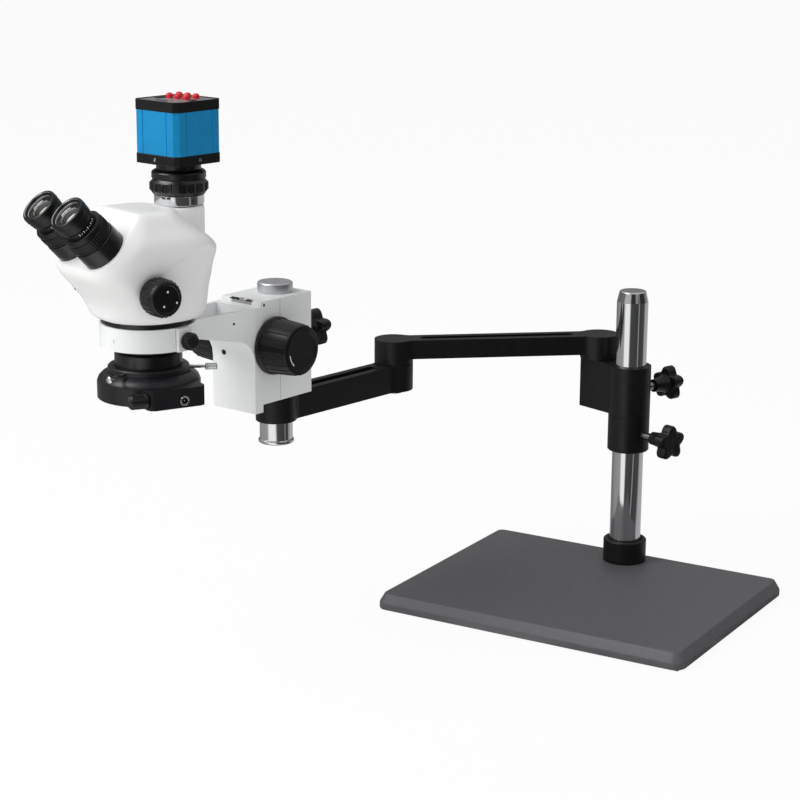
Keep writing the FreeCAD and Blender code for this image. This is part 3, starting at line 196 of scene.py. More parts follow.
def add_node(material, kind, attributes=None, inputs=None, **sockets):
    """Adds a shader node with its settings, and values or links by socket number or name."""
    tree = material.node_tree
    node = tree.nodes.new(kind)
    for name, value in (attributes or {}).items():
        setattr(node, name, value)
    named = {name.replace("_", " "): value for name, value in sockets.items()}
    for key, value in {**(inputs or {}), **named}.items():
        socket = node.inputs[key]
        if isinstance(value, bpy.types.NodeSocket):
            tree.links.new(value, socket)
        else:
            socket.default_value = value
    return node


def per(size):
    """Texture scale at which one feature is about as wide as a size in millimetres."""
    return 1 / (size * MM)


def finish(name, colour, **values):
    """A Principled material, its shader and the object coordinates its patterns read."""
    material = bpy.data.materials.new(name)
    material.use_nodes = True
    shader = material.node_tree.nodes["Principled BSDF"]
    shader.inputs["Base Color"].default_value = (*colour, 1)
    for socket, value in values.items():
        shader.inputs[socket.replace("_", " ")].default_value = value
    coordinates = add_node(material, "ShaderNodeTexCoord").outputs["Object"]
    return material, shader, coordinates


def mottle(material, shader, coordinates, colour, size, spread):
    """Lets the colour wander a little lighter and darker over a size in millimetres."""
    noise = add_node(material, "ShaderNodeTexNoise", Vector=coordinates, Scale=per(size),
                     Detail=3.0)
    ramp = add_node(material, "ShaderNodeValToRGB", Fac=noise.outputs["Fac"])
    ramp.color_ramp.elements[0].position = 0.3
    ramp.color_ramp.elements[0].color = (*(value * (1 - spread) for value in colour), 1)
    ramp.color_ramp.elements[1].position = 0.7
    ramp.color_ramp.elements[1].color = (*(min(1, value * (1 + spread)) for value in colour), 1)
    material.node_tree.links.new(ramp.outputs["Color"], shader.inputs["Base Color"])


def grain(material, shader, coordinates, size, height, stretch=(1, 1, 1)):
    """Raises a fine grain of a size in millimetres, by a height in millimetres."""
    mapping = add_node(material, "ShaderNodeMapping", Vector=coordinates, Scale=stretch)
    noise = add_node(material, "ShaderNodeTexNoise", Vector=mapping.outputs["Vector"],
                     Scale=per(size), Detail=2.0)
    bump = add_node(material, "ShaderNodeBump", Height=noise.outputs["Fac"],
                    Distance=height * MM, Strength=1.0)
    material.node_tree.links.new(bump.outputs["Normal"], shader.inputs["Normal"])


def vary_roughness(material, shader, coordinates, size, low, high):
    """Lets the gloss wander between two roughnesses over a size in millimetres."""
    noise = add_node(material, "ShaderNodeTexNoise", Vector=coordinates, Scale=per(size),
                     Detail=4.0)
    spread = add_node(material, "ShaderNodeMapRange", Value=noise.outputs["Fac"],
                      From_Min=0.3, From_Max=0.7, To_Min=low, To_Max=high)
    material.node_tree.links.new(spread.outputs["Result"], shader.inputs["Roughness"])


def surface(name, colour, tones=None, gloss=None, skin=None, **values):
    """A finish whose colour and gloss wander and whose skin is raised, where they are given."""
    material, shader, where = finish(name, colour, **values)
    if tones:
        mottle(material, shader, where, colour, *tones)
    if gloss:
        vary_roughness(material, shader, where, *gloss)
    if skin:
        grain(material, shader, where, *skin)
    return material


def make_materials(colours):
    """All finishes, by the short names that the pieces use."""
    abs_plastic = {"IOR": 1.53, "Specular_IOR_Level": 0.4}
    abs_skin = (1.2, 0.01)
    abs_tones = (18.0, 0.004)
    return {
        # Powder coat baked on steel: an even colour over a fine leathery grain.
        "base": surface("powder_coated_steel", colours.base_grey, (9.0, 0.05),
                        skin=(1.1, 0.07), Roughness=0.5, IOR=1.5),
        # Black satin coat on a casting: blasted fine, so a broad dull highlight runs along it.
        "cast": surface("satin_black_cast_aluminium", colours.cast_black, (14.0, 0.1),
                        (20.0, 0.36, 0.46), (0.9, 0.02), IOR=1.5, Specular_IOR_Level=0.35),
        # ABS from a mould: even colour, a slight skin texture and a soft gloss.
        "grip": surface("moulded_black_abs", colours.grip_black, abs_tones,
                        (12.0, 0.3, 0.42), abs_skin, **abs_plastic),
        # Polycarbonate from a mould, sprayed satin.
        "light": surface("satin_black_polycarbonate", linear("#17181b"), abs_tones,
                         (12.0, 0.34, 0.44), abs_skin, **abs_plastic),
        # Stoved enamel on cast aluminium: smooth and pale, with a faint orange peel.
        "block": surface("stoved_grey_enamel", colours.block_grey, (30.0, 0.012),
                         (15.0, 0.36, 0.46), (1.6, 0.012), IOR=1.5, Coat_Weight=0.15,
                         Coat_Roughness=0.15),
        # ABS from a polished mould: white, glossy and almost without a skin.
        "shell": surface("gloss_white_abs", colours.shell_white, abs_tones,
                         (12.0, 0.28, 0.34), (2.0, 0.0015), **abs_plastic),
        # Hard chrome on a ground steel bar: a mirror with very faint grinding rings.
        "chrome": surface("hard_chromed_steel", linear("#e3e4e6"), gloss=(25.0, 0.05, 0.1),
                          skin=(6.0, 0.002, (0.15, 0.15, 6)), Metallic=1.0),
        # Aluminium off the lathe: fine rings round the axis that spread the highlight.
        "aluminium": surface("turned_aluminium", linear("#d9dadc"), (6.0, 0.02),
                             (4.0, 0.38, 0.46), (1.2, 0.002, (0.2, 0.2, 6)), Metallic=1.0),
        # Ground bearing steel of the slide, shafts and screws, with a film of oil.
        "steel": surface("ground_steel", linear("#a9abad"), (8.0, 0.06),
                         (5.0, 0.2, 0.32), (1.0, 0.008, (6, 6, 0.3)), Metallic=1.0),
        # Free-cutting brass of the rack, a little dulled.
        "brass": surface("cut_brass", linear("#c9a35c"), (5.0, 0.1),
                         (4.0, 0.25, 0.4), (0.8, 0.01), Metallic=1.0),
        # Black anodised tube work: nearly black, with a crisp satin highlight.
        "anodised": surface("black_anodised_aluminium", linear("#0c0d0e"), (10.0, 0.08),
                            (10.0, 0.26, 0.36), (1.0, 0.008, (0.3, 0.3, 3)), IOR=1.6,
                            Specular_IOR_Level=0.5),
        # Dyed and anodised aluminium extrusion: blue metal with faint lines drawn along it.
        "blue": surface("blue_anodised_aluminium", colours.camera_blue, (12.0, 0.04),
                        (8.0, 0.32, 0.42), (1.0, 0.01, (4, 4, 0.1)), Metallic=0.4, IOR=1.5,
                        Coat_Weight=0.1, Coat_Roughness=0.2),
        # The camera's moulded end caps, in the same ABS.
        "camera": surface("black_camera_end_cap", linear("#0c0c0e"), abs_tones,
                          (12.0, 0.34, 0.46), abs_skin, **abs_plastic),
        # Printed film over the camera's keypad: satin silver.
        "film": surface("silver_keypad_film", linear("#aeb0b3"), (4.0, 0.05),
                        (6.0, 0.28, 0.38), (0.8, 0.008), Metallic=0.7),
        # Glossy tinted plastic of the buttons, a little light passing through.
        "red": surface("red_button_plastic", colours.button_red, (3.0, 0.06),
                       (3.0, 0.12, 0.22), (1.0, 0.004), IOR=1.49, Subsurface_Weight=0.15,
                       Subsurface_Scale=0.002),
        # Coated optical glass, drawn opaque: its near-black colour is painted shade for the dark
        # inside of the tube behind it, warmed by the coating's tint; the coat gives a hard glint.
        "lens": surface("coated_optical_glass", linear("#231b15"), (9.0, 0.35),
                        Roughness=0.03, IOR=1.62, Coat_Weight=1.0, Coat_Roughness=0.02),
        # Matt rubber of the mat under the base.
        "rubber": surface("nitrile_rubber", linear("#1c1c1d"), (6.0, 0.1), skin=(1.5, 0.05),
                          Roughness=0.8, IOR=1.52),
        # Water-clear epoxy of the lamps, milky where the light spreads.
        "lamp": surface("clear_lamp_epoxy", linear("#f4f1dc"), (3.0, 0.04), Roughness=0.1,
                        IOR=1.5, Subsurface_Weight=0.2, Subsurface_Scale=0.002),
        # Screen-printed paint of the dots, arcs and index lines.
        "white": surface("white_paint", linear("#e9eaea"), (2.0, 0.03), Roughness=0.5,
                         IOR=1.5),
        # Nearly black: painted shade for the unlit inside of holes, slots and sockets, and the
        # dark lines of seams, splits and index ticks.
        "hole": surface("painted_hole_shade_and_joint_black", linear("#060607"), (2.0, 0.1), Roughness=0.6, IOR=1.5),
    }


FINISHES = {}


def finish_named(name):
    """A finish by its short name; all are made together, the first time one is wanted."""
    if not FINISHES:
        FINISHES.update(make_materials(bpy.context.scene.finishes))
    return FINISHES[name]


def dress(node, finish_name):
    """Gives a CAD node that stays a better material."""
    data = frame["nodes"][node].data
    data.materials.clear()
    data.materials.append(finish_named(finish_name))


# Modelling


def mesh_data(name, mesh):
    """Mesh data from a bmesh, which is freed."""
    data = bpy.data.meshes.new(name)
    mesh.to_mesh(data)
    mesh.free()
    return data


def placed(name, data):
    """A new object in the scene."""
    item = bpy.data.objects.new(name, data)
    bpy.context.scene.collection.objects.link(item)
    return item


def cad_copy(node):
    """A bmesh of a CAD node with its doubled corners merged; the node stays as it is."""
    mesh = bmesh.new()
    mesh.from_mesh(frame["nodes"][node].data)
    bmesh.ops.remove_doubles(mesh, verts=mesh.verts, dist=0.01 * MM)
    return mesh


def finished(name, mesh, place, finish_name, body, replaces=(), edge=0, angle=30):
    """Turns a bmesh in a space's millimetres into a smooth-shaded piece riding on a body."""
    bmesh.ops.recalc_face_normals(mesh, faces=mesh.faces)
    mesh.transform(place)
    data = mesh_data(name, mesh)
    data.shade_smooth()
    data.materials.append(finish_named(finish_name))
    piece = placed(name, data)
    if edge:
        bevel = piece.modifiers.new("rounded edges", "BEVEL")
        bevel.width = edge * MM
        bevel.segments = 2
        bevel.limit_method = "ANGLE"
        bevel.angle_limit = math.radians(angle)
        bevel.miter_outer = "MITER_ARC"
    normals = piece.modifiers.new("even shading", "WEIGHTED_NORMAL")
    normals.keep_sharp = True
    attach(piece, body)
    if replaces:
        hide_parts(*replaces)
    return piece


def fitting(name, mesh, place, finish_name, body):
    """A small fitting or mark that the solids don't have, with its edges as they are."""
    return finished(name, mesh, place, finish_name, body, edge=0)


def turned(profile, steps=None, sweep=360):
    """A lathe shape: a profile of (radius, height) points spun about Z."""
    steps = steps or bpy.context.scene.shapes.turned_steps
    mesh = bmesh.new()
    corners = [mesh.verts.new((radius, 0, height)) for radius, height in profile]
    edges = [mesh.edges.new(pair) for pair in zip(corners, corners[1:])]
    bmesh.ops.spin(mesh, geom=corners + edges, cent=(0, 0, 0), axis=(0, 0, 1),
                   angle=math.radians(sweep), steps=steps, use_merge=sweep == 360)
    bmesh.ops.remove_doubles(mesh, verts=mesh.verts, dist=0.001)
    return mesh


def arc(centre, radius, start, end, steps=6):
    """Points of a round stretch of a profile, from one angle to another in degrees."""
    return [
        (centre[0] + radius * math.cos(math.radians(start + (end - start) * step / steps)),
         centre[1] + radius * math.sin(math.radians(start + (end - start) * step / steps)))
        for step in range(steps + 1)
    ]


def block(low, high):
    """A rectangular block between two corners."""
    mesh = bmesh.new()
    bmesh.ops.create_cube(mesh, size=1)
    low, high = Vector(low), Vector(high)
    bmesh.ops.scale(mesh, vec=high - low, verts=mesh.verts)
    bmesh.ops.translate(mesh, vec=(low + high) / 2, verts=mesh.verts)
    return mesh


def merged(*meshes):
    """Several bmeshes as one."""
    whole = meshes[0]
    for mesh in meshes[1:]:
        data = mesh_data("merge", mesh)
        whole.from_mesh(data)
        bpy.data.meshes.remove(data)
    return whole


def moved(mesh, matrix):
    bmesh.ops.transform(mesh, matrix=matrix, verts=mesh.verts)
    return mesh


def spun(degrees):
    """A turn about Z."""
    return Matrix.Rotation(math.radians(degrees), 4, "Z")


def made(result, kind):
    """The corners or edges that a bmesh operator made."""
    return [item for item in result["geom"] if isinstance(item, kind)]


def fluted(mesh, low, high, radius, count, depth, share=0.5):
    """Presses flutes into the side faces of a turned shape between two heights."""
    side = [
        face for face in mesh.faces
        if low < face.calc_center_median().z < high
        and face.calc_center_median().xy.length > radius
        and abs(face.normal.z) < 0.6
    ]
    sectors = {}
    for face in side:
        middle = face.calc_center_median()
        turn = math.atan2(middle.y, middle.x) / math.tau % 1.0 * count
        if turn % 1.0 < share:
            sectors.setdefault(int(turn), []).append(face)
    for faces in sectors.values():
        bmesh.ops.inset_region(mesh, faces=faces, thickness=depth * 0.6, depth=-depth,
                               use_even_offset=True)
    return mesh


def softened(node, finish_name, body, edge, angle=28):
    """A copy of a CAD node, merged and flattened, with its edges rounded."""
    mesh = cad_copy(node)
    bmesh.ops.dissolve_limit(mesh, angle_limit=math.radians(1.0), verts=mesh.verts,
                             edges=mesh.edges)
    mesh.transform(Matrix.Scale(1 / MM, 4))
    return finished(f"{node}_finished", mesh, BENCH, finish_name, body, [node], edge=edge,
                    angle=angle)


def screw_socket(radius, height, key):
    """A socket cap screw's head with its hexagonal key hole."""
    mesh = turned([(0, 0), (radius, 0), (radius, height)], 24)
    loop = [edge for edge in mesh.edges if edge.is_boundary]
    for reach, sink in ((key / radius, 0), (1, height * 0.6)):
        result = bmesh.ops.extrude_edge_only(mesh, edges=loop)
        ring = made(result, bmesh.types.BMVert)
        bmesh.ops.scale(mesh, vec=(reach, reach, 1), verts=ring)
        bmesh.ops.translate(mesh, vec=(0, 0, -sink), verts=ring)
        loop = [edge for edge in made(result, bmesh.types.BMEdge) if edge.is_boundary]
    bmesh.ops.holes_fill(mesh, edges=loop, sides=0)
    return mesh


def painted_hole_shade(radius, proud):
    """Painted shade of a small hole: a dark disc, a little proud of the wall so that it shows."""
    return turned([(0, proud), (radius, proud), (radius, -0.6), (0, -0.6)], 24)


def star_grip(thickness, hub, tip, lobes=5):
    """A clamping knob's lobed disc: crowned lobes with hollow flanks and a dished top."""
    mesh = bmesh.new()
    sides = 24 * lobes
    bmesh.ops.create_circle(mesh, cap_ends=True, segments=sides, radius=1)
    for corner in mesh.verts:
        turn = math.atan2(corner.co.y, corner.co.x) * lobes
        crown = (0.5 + 0.5 * math.cos(turn)) ** 0.75
        corner.co *= hub + (tip - hub) * crown
    result = bmesh.ops.extrude_face_region(mesh, geom=mesh.faces[:])
    bmesh.ops.translate(mesh, vec=(0, 0, thickness), verts=made(result, bmesh.types.BMVert))
    mesh.normal_update()
    caps = [face for face in mesh.faces if abs(face.normal.z) > 0.9]
    rims = [edge for face in caps for edge in face.edges]
    bmesh.ops.bevel(mesh, geom=rims, offset=2.2, offset_type="OFFSET", segments=4,
                    profile=0.5, affect="EDGES", material=-1)
    upper = max(mesh.faces, key=lambda face: face.calc_center_median().z)
    bmesh.ops.inset_region(mesh, faces=[upper], thickness=3.0, depth=0)
    bmesh.ops.inset_region(mesh, faces=[upper], thickness=0.8, depth=-1.0)
    return mesh


# Pieces


class PieceOperator:
    """What the operators share: their undo step."""

    bl_options = {"REGISTER", "UNDO"}


class MICROSCOPE_OT_base(PieceOperator, bpy.types.Operator):
    """Finish the base plate with its bevelled rim, and the mat under it"""

    bl_idname = "microscope.base"
    bl_label = "Base Plate"

    def execute(self, context):
        softened("base_plate", "base", "stand", edge=1.0, angle=15)
        for node, finish_name in (("base_mat", "rubber"), ("pole_bolt", "steel")):
            dress(node, finish_name)
        return {"FINISHED"}


class MICROSCOPE_OT_pole(PieceOperator, bpy.types.Operator):
    """Turn the chromed pole with its tapered tip, and the black flange at its foot"""

    bl_idname = "microscope.pole"
    bl_label = "Pole and Flange"

    def execute(self, context):
        low, high = extent("pole", POLE)
        radius = high.x
        tip = radius * 0.86
        taper = high.z - 11
        pole = turned([
            (0, low.z), (radius, low.z), (radius, taper), *arc((tip - 2, high.z - 2), 2, 20, 90),
            (0, high.z),
        ])
        finished("pole_bar", pole, POLE, "chrome", "stand", ["pole"], edge=0.6, angle=10)
        low, high = extent("pole_flange", POLE)
        flange = turned([
            (radius, low.z), (high.x, low.z), (high.x, high.z - 1), (high.x - 1, high.z),
            (radius + 3, high.z), (radius + 0.05, high.z - 3), (radius, low.z),
        ])
        finished("pole_foot", flange, POLE, "cast", "stand", ["pole_flange"], edge=0.4)
        return {"FINISHED"}


class MICROSCOPE_OT_clamp(PieceOperator, bpy.types.Operator):
    """Finish the stop collar and the clamp that carries the boom"""

    bl_idname = "microscope.clamp"
    bl_label = "Collar and Clamp"

    def execute(self, context):
        softened("stop_collar", "cast", "stop_collar", edge=0.4)
        softened("pole_clamp", "cast", "pole_clamp", edge=0.6)
        dress("shoulder_pin", "steel")
        return {"FINISHED"}


class MICROSCOPE_OT_star_knobs(PieceOperator, bpy.types.Operator):
    """Model the five-lobed clamping knobs with their necks and steel studs"""

    bl_idname = "microscope.star_knobs"
    bl_label = "Star Knobs"

    def execute(self, context):
        for node in ("stop_collar_knob", "pole_clamp_knob", "focus_clamp_knob"):
            place = along(node + "_turn")
            low, high = extent(node, place)
            thickness = 12
            neck = high.z - thickness - 17
            disc = star_grip(thickness, 12.2, max(high.x, high.y))
            moved(disc, Matrix.Translation((0, 0, high.z - thickness)))
            boss = turned([
                (0, neck), (5.6, neck), (6.6, neck + 0.8), (7.0, neck + 6),
                (8.4, high.z - thickness - 3), (10.5, high.z - thickness + 0.5),
                (0, high.z - thickness + 0.5),
            ], 48)
            finished(node + "_grip", merged(disc, boss), place, "grip", node, [node],
                     edge=0.3, angle=40)
            stud = turned([
                (0, low.z), (3.4, low.z), (4, low.z + 0.8), (4, neck + 1), (0, neck + 1),
            ], 32)
            finished(node + "_stud", stud, place, "steel", node,
                     edge=0.2)
        return {"FINISHED"}


class MICROSCOPE_OT_arms(PieceOperator, bpy.types.Operator):
    """Finish the two slotted arms and the screw at the elbow"""

    bl_idname = "microscope.arms"
    bl_label = "Boom Arms"

    def execute(self, context):
        softened("upper_arm", "cast", "upper_arm", edge=0.9)
        softened("lower_arm", "cast", "lower_arm", edge=0.9)
        dress("elbow_pin", "steel")
        return {"FINISHED"}


class MICROSCOPE_OT_spindle(PieceOperator, bpy.types.Operator):
    """Turn the spindle at the end of the lower arm, its foot and its cap"""

    bl_idname = "microscope.spindle"
    bl_label = "Spindle"

    def execute(self, context):
        low, high = extent("spindle", FOCUS)
        foot = high.x
        shaft = foot - 1.3
        bar = turned([
            (0, low.z), (foot - 1.2, low.z), (foot, low.z + 1), (foot, low.z + 3.4),
            (shaft, low.z + 4), (shaft, high.z), (0, high.z),
        ])
        finished("spindle_bar", bar, FOCUS, "chrome", "lower_arm", ["spindle"], edge=0.3)
        low, high = extent("spindle_cap", FOCUS)
        cap = turned([
            (0, low.z), (high.x, low.z), (high.x, high.z - 1.2), (high.x - 1.2, high.z),
            (0, high.z),
        ])
        finished("spindle_top", cap, FOCUS, "aluminium", "lower_arm", ["spindle_cap"],
                 edge=0.4)
        return {"FINISHED"}


class MICROSCOPE_OT_focus_block(PieceOperator, bpy.types.Operator):
    """Finish the focus block, its slide, rack and pinion, a screw hole, its seams and the slide's
    end stops
    """

    bl_idname = "microscope.focus_block"
    bl_label = "Focus Block"

    def execute(self, context):
        softened("focus_body", "block", "focus_block", edge=0.6)
        softened("rack_housing", "block", "focus_block", edge=0.4)
        for node, name in (("pinion_bushes", "brass"), ("pinion_shaft", "steel"),
                           ("slide_rail", "steel"), ("rack", "brass")):
            dress(node, name)
        low, high = extent("rack_housing", FOCUS)
        inset = 3.5
        mouth = facing((high.x, low.y + inset, high.z - inset), (1, 0, 0))
        # A dark disc of painted shade stands for the screw hole in the housing.
        fitting("housing_screw_hole", painted_hole_shade(1.4, 0.06), mouth, "hole", "focus_block")
        proud = 0.04
        foot, head = low.z + 0.3, high.z - 0.3
        front, back = (low.y, low.y + 0.5), (high.y - 0.15, high.y + 0.15)
        seams = [
            block((side - proud, start, foot), (side + proud, end, head))
            for side in (low.x, high.x) for start, end in (front, back)
        ]
        fitting("housing_seams", merged(*seams), FOCUS, "hole", "focus_block")
        self.build_stops()
        return {"FINISHED"}

    def build_stops(self):
        """The two black end stops on the slide's top, either side of the rack."""
        low, high = extent("slide_rail", FOCUS)
        margin, length, height = 0.3, 8.9, 1.3
        stops = [
            block((start, low.y + margin, high.z), (start + length, high.y - margin,
                                                    high.z + height))
            for start in (low.x + margin, high.x - margin - length)
        ]
        finished("slide_stops", merged(*stops), FOCUS, "grip", "carriage",
                 edge=0.3)


class MICROSCOPE_OT_focus_knobs(PieceOperator, bpy.types.Operator):
    """Turn the two large focus knobs, fluted along their taper"""

    bl_idname = "microscope.focus_knobs"
    bl_label = "Focus Knobs"

    def execute(self, context):
        for node, flip in (("focus_knob_right", 1), ("focus_knob_left", -1)):
            place = space(joints["focus_knob_turn"]["pos_m"], flip * ACROSS_FOCUS, UP)
            low, high = extent(node, place)
            rim = high.x
            face = rim - 5.1
            base = low.z
            top = high.z
            grip = turned([
                (5, base), (rim - 1.4, base), (rim, base + 1.2), (rim, base + 4.4),
                (rim - 0.9, base + 5.4), (rim - 1.8, base + 6.0), (face + 1.3, top - 2.4),
                (face + 0.8, top - 0.9), (face - 0.6, top), (face - 3.2, top),
                (face - 4.0, top - 0.9), (0, top - 0.9),
            ], 144)
            fluted(grip, base + 6.1, top - 2.4, face, 24, 0.6, 0.22)
            finished(node + "_grip", grip, place, "grip", "focus_shaft", [node],
                     edge=0.25, angle=35)
            mark = turned([(face - 6.4, top - 0.86), (face - 5.4, top - 0.86)], 24, 42)
            moved(mark, spun(98))
            fitting(node + "_arc", mark, place, "white", "focus_shaft")
        return {"FINISHED"}


# Points on the bracket in the focus space, and the way its wall faces there: the socket
# screw lies on the fork's hollow fillet, the hole on its near flank.
PLATE_SCREW = (-11.9, -59.45, 274.0), (0, -0.988, -0.156)
FORK_HOLE = (24.1, -83.9, 310.1), (0.994, -0.108, 0)


class MICROSCOPE_OT_bracket(PieceOperator, bpy.types.Operator):
    """Finish the bracket with the ring that holds the head, and its screws"""

    bl_idname = "microscope.bracket"
    bl_label = "Head Bracket"

    def execute(self, context):
        softened("ring_bracket", "block", "carriage", edge=0.7)
        place = along("ring_thumbscrew_turn")
        low, high = extent("ring_thumbscrew", place)
        neck = high.z - 10
        grip = turned([
            (0, neck), (5, neck), (6.6, neck + 0.6), (high.x, neck + 1.6), (high.x, high.z - 1.6),
            (6.4, high.z - 0.3), (5.2, high.z), (4.6, high.z - 0.6), (0, high.z - 0.6),
        ], 96)
        fluted(grip, neck + 1.7, high.z - 1.7, 6, 24, 0.5, 0.5)
        finished("thumbscrew_grip", grip, place, "grip", "ring_thumbscrew",
                 ["ring_thumbscrew"], edge=0.15, angle=40)
        stem = turned([(0, low.z), (2.4, low.z), (2.4, neck + 1), (0, neck + 1)], 24)
        finished("thumbscrew_stem", stem, place, "steel", "ring_thumbscrew",
                 edge=0.2)
        finished("plate_screw", screw_socket(2.6, 0.5, 1.5), facing(*PLATE_SCREW),
                 "grip", "carriage", edge=0.1)
        # A dark disc of painted shade stands for the hole in the fork's flank.
        fitting("fork_screw_hole", painted_hole_shade(1.3, 0.08), facing(*FORK_HOLE), "hole",
                "carriage")
        low, high = extent("ring_bracket", FOCUS)
        tick = block((0.5, low.y - 0.04, 311.2), (1.1, low.y + 0.1, 314.2))
        split = block((43.1, -179.54, low.z + 83.5), (43.5, -179.4, high.z - 0.5))
        fitting("ring_marks", merged(tick, split), FOCUS, "hole", "carriage")
        return {"FINISHED"}


class MICROSCOPE_OT_barrel(PieceOperator, bpy.types.Operator):
    """Turn the black barrel in the ring, with its nose, and finish the objective lens"""

    bl_idname = "microscope.barrel"
    bl_label = "Body Barrel"

    def execute(self, context):
        low, high = extent("body_barrel", HEAD)
        top = high.z
        ring_top = top - 4.5
        end = low.z
        barrel = turned([
            (0, top), (high.x - 0.8, top), (high.x, top - 0.8), (high.x, ring_top + 0.6),
            (high.x - 0.6, ring_top), (37.9, ring_top), (37.9, ring_top - 21.3),
            (34, ring_top - 21.3), (34, ring_top - 24.2), (33.4, ring_top - 24.8),
            (30.5, ring_top - 27.8), (30.5, end + 0.8), (29.7, end), (24.5, end),
            (24, end + 0.5), (24, end + 6), (25.8, end + 6), (25.8, end + 12.4),
            (24, end + 12.4), (24, end + 20), (0, end + 20),
        ])
        finished("head_barrel", barrel, HEAD, "anodised", "head", ["body_barrel"],
                 edge=0.25)
        # The objective's glass is near black: painted shade for the dark barrel behind it.
        low, high = extent("objective_lens", HEAD)
        lens = turned([
            *arc((0, low.z + 62), 62, -90, -68, 8), (high.x, high.z), (0, high.z),
        ])
        finished("objective_glass", lens, HEAD, "lens", "head", ["objective_lens"],
                 edge=0.2)
        return {"FINISHED"}


class MICROSCOPE_OT_head(PieceOperator, bpy.types.Operator):
    """Rebuild the moulded housing with soft edges between its planes"""

    bl_idname = "microscope.head"
    bl_label = "Head Housing"

    def execute(self, context):
        shapes = context.scene.shapes
        rough = placed("head_rough", mesh_data("head_rough", cad_copy("head_shell")))
        remesh = rough.modifiers.new("grid", "REMESH")
        remesh.mode = "VOXEL"
        remesh.voxel_size = shapes.shell_voxel
        remesh.use_smooth_shade = True
        smooth = rough.modifiers.new("eased edges", "SMOOTH")
        smooth.factor = 0.5
        smooth.iterations = shapes.shell_smoothing
        evaluated = rough.evaluated_get(context.evaluated_depsgraph_get())
        final = bpy.data.meshes.new_from_object(evaluated)
        final.name = "head_housing"
        bpy.data.objects.remove(rough)
        final.materials.clear()
        final.materials.append(finish_named("shell"))
        final.shade_smooth()
        housing = placed("head_housing", final)
        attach(housing, "head")
        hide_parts("head_shell")
        return {"FINISHED"}


class MICROSCOPE_OT_zoom_knobs(PieceOperator, bpy.types.Operator):
    """Turn the zoom knobs with their fluted sides and the dots on their faces"""

    bl_idname = "microscope.zoom_knobs"
    bl_label = "Zoom Knobs"

    def execute(self, context):
        dress("zoom_shaft", "steel")
        for node, flip in (("zoom_knob_right", 1), ("zoom_knob_left", -1)):
            place = space(joints["zoom_turn"]["pos_m"], flip * ACROSS_HEAD, UP)
            low, high = extent(node, place)
            rim = high.x
            top = high.z
            grip = turned([
                (4, low.z), (rim - 1.6, low.z), (rim - 0.3, low.z + 1.2), (rim, low.z + 3),
                (rim, top - 3.2), (rim - 0.8, top - 1.2), (rim - 2.2, top), (rim - 3.6, top),
                (rim - 4.4, top - 0.8), (0, top - 0.8),
            ], 96)
            fluted(grip, low.z + 3.1, top - 3.3, 14, 24, 0.7, 0.45)
            finished(node + "_grip", grip, place, "grip", "zoom_drive", [node],
                     edge=0.2, angle=38)
            dots = []
            for reach, degrees in ((6.4, -10), (6.8, 155), (11.0, -112)):
                dot = turned([(0, top - 0.72), (1.0, top - 0.72)], 16)
                turn = spun(degrees)
                dots.append(moved(dot, turn @ Matrix.Translation((reach, 0, 0))))
            fitting(node + "_dots", merged(*dots), place, "white", "zoom_drive")
        return {"FINISHED"}


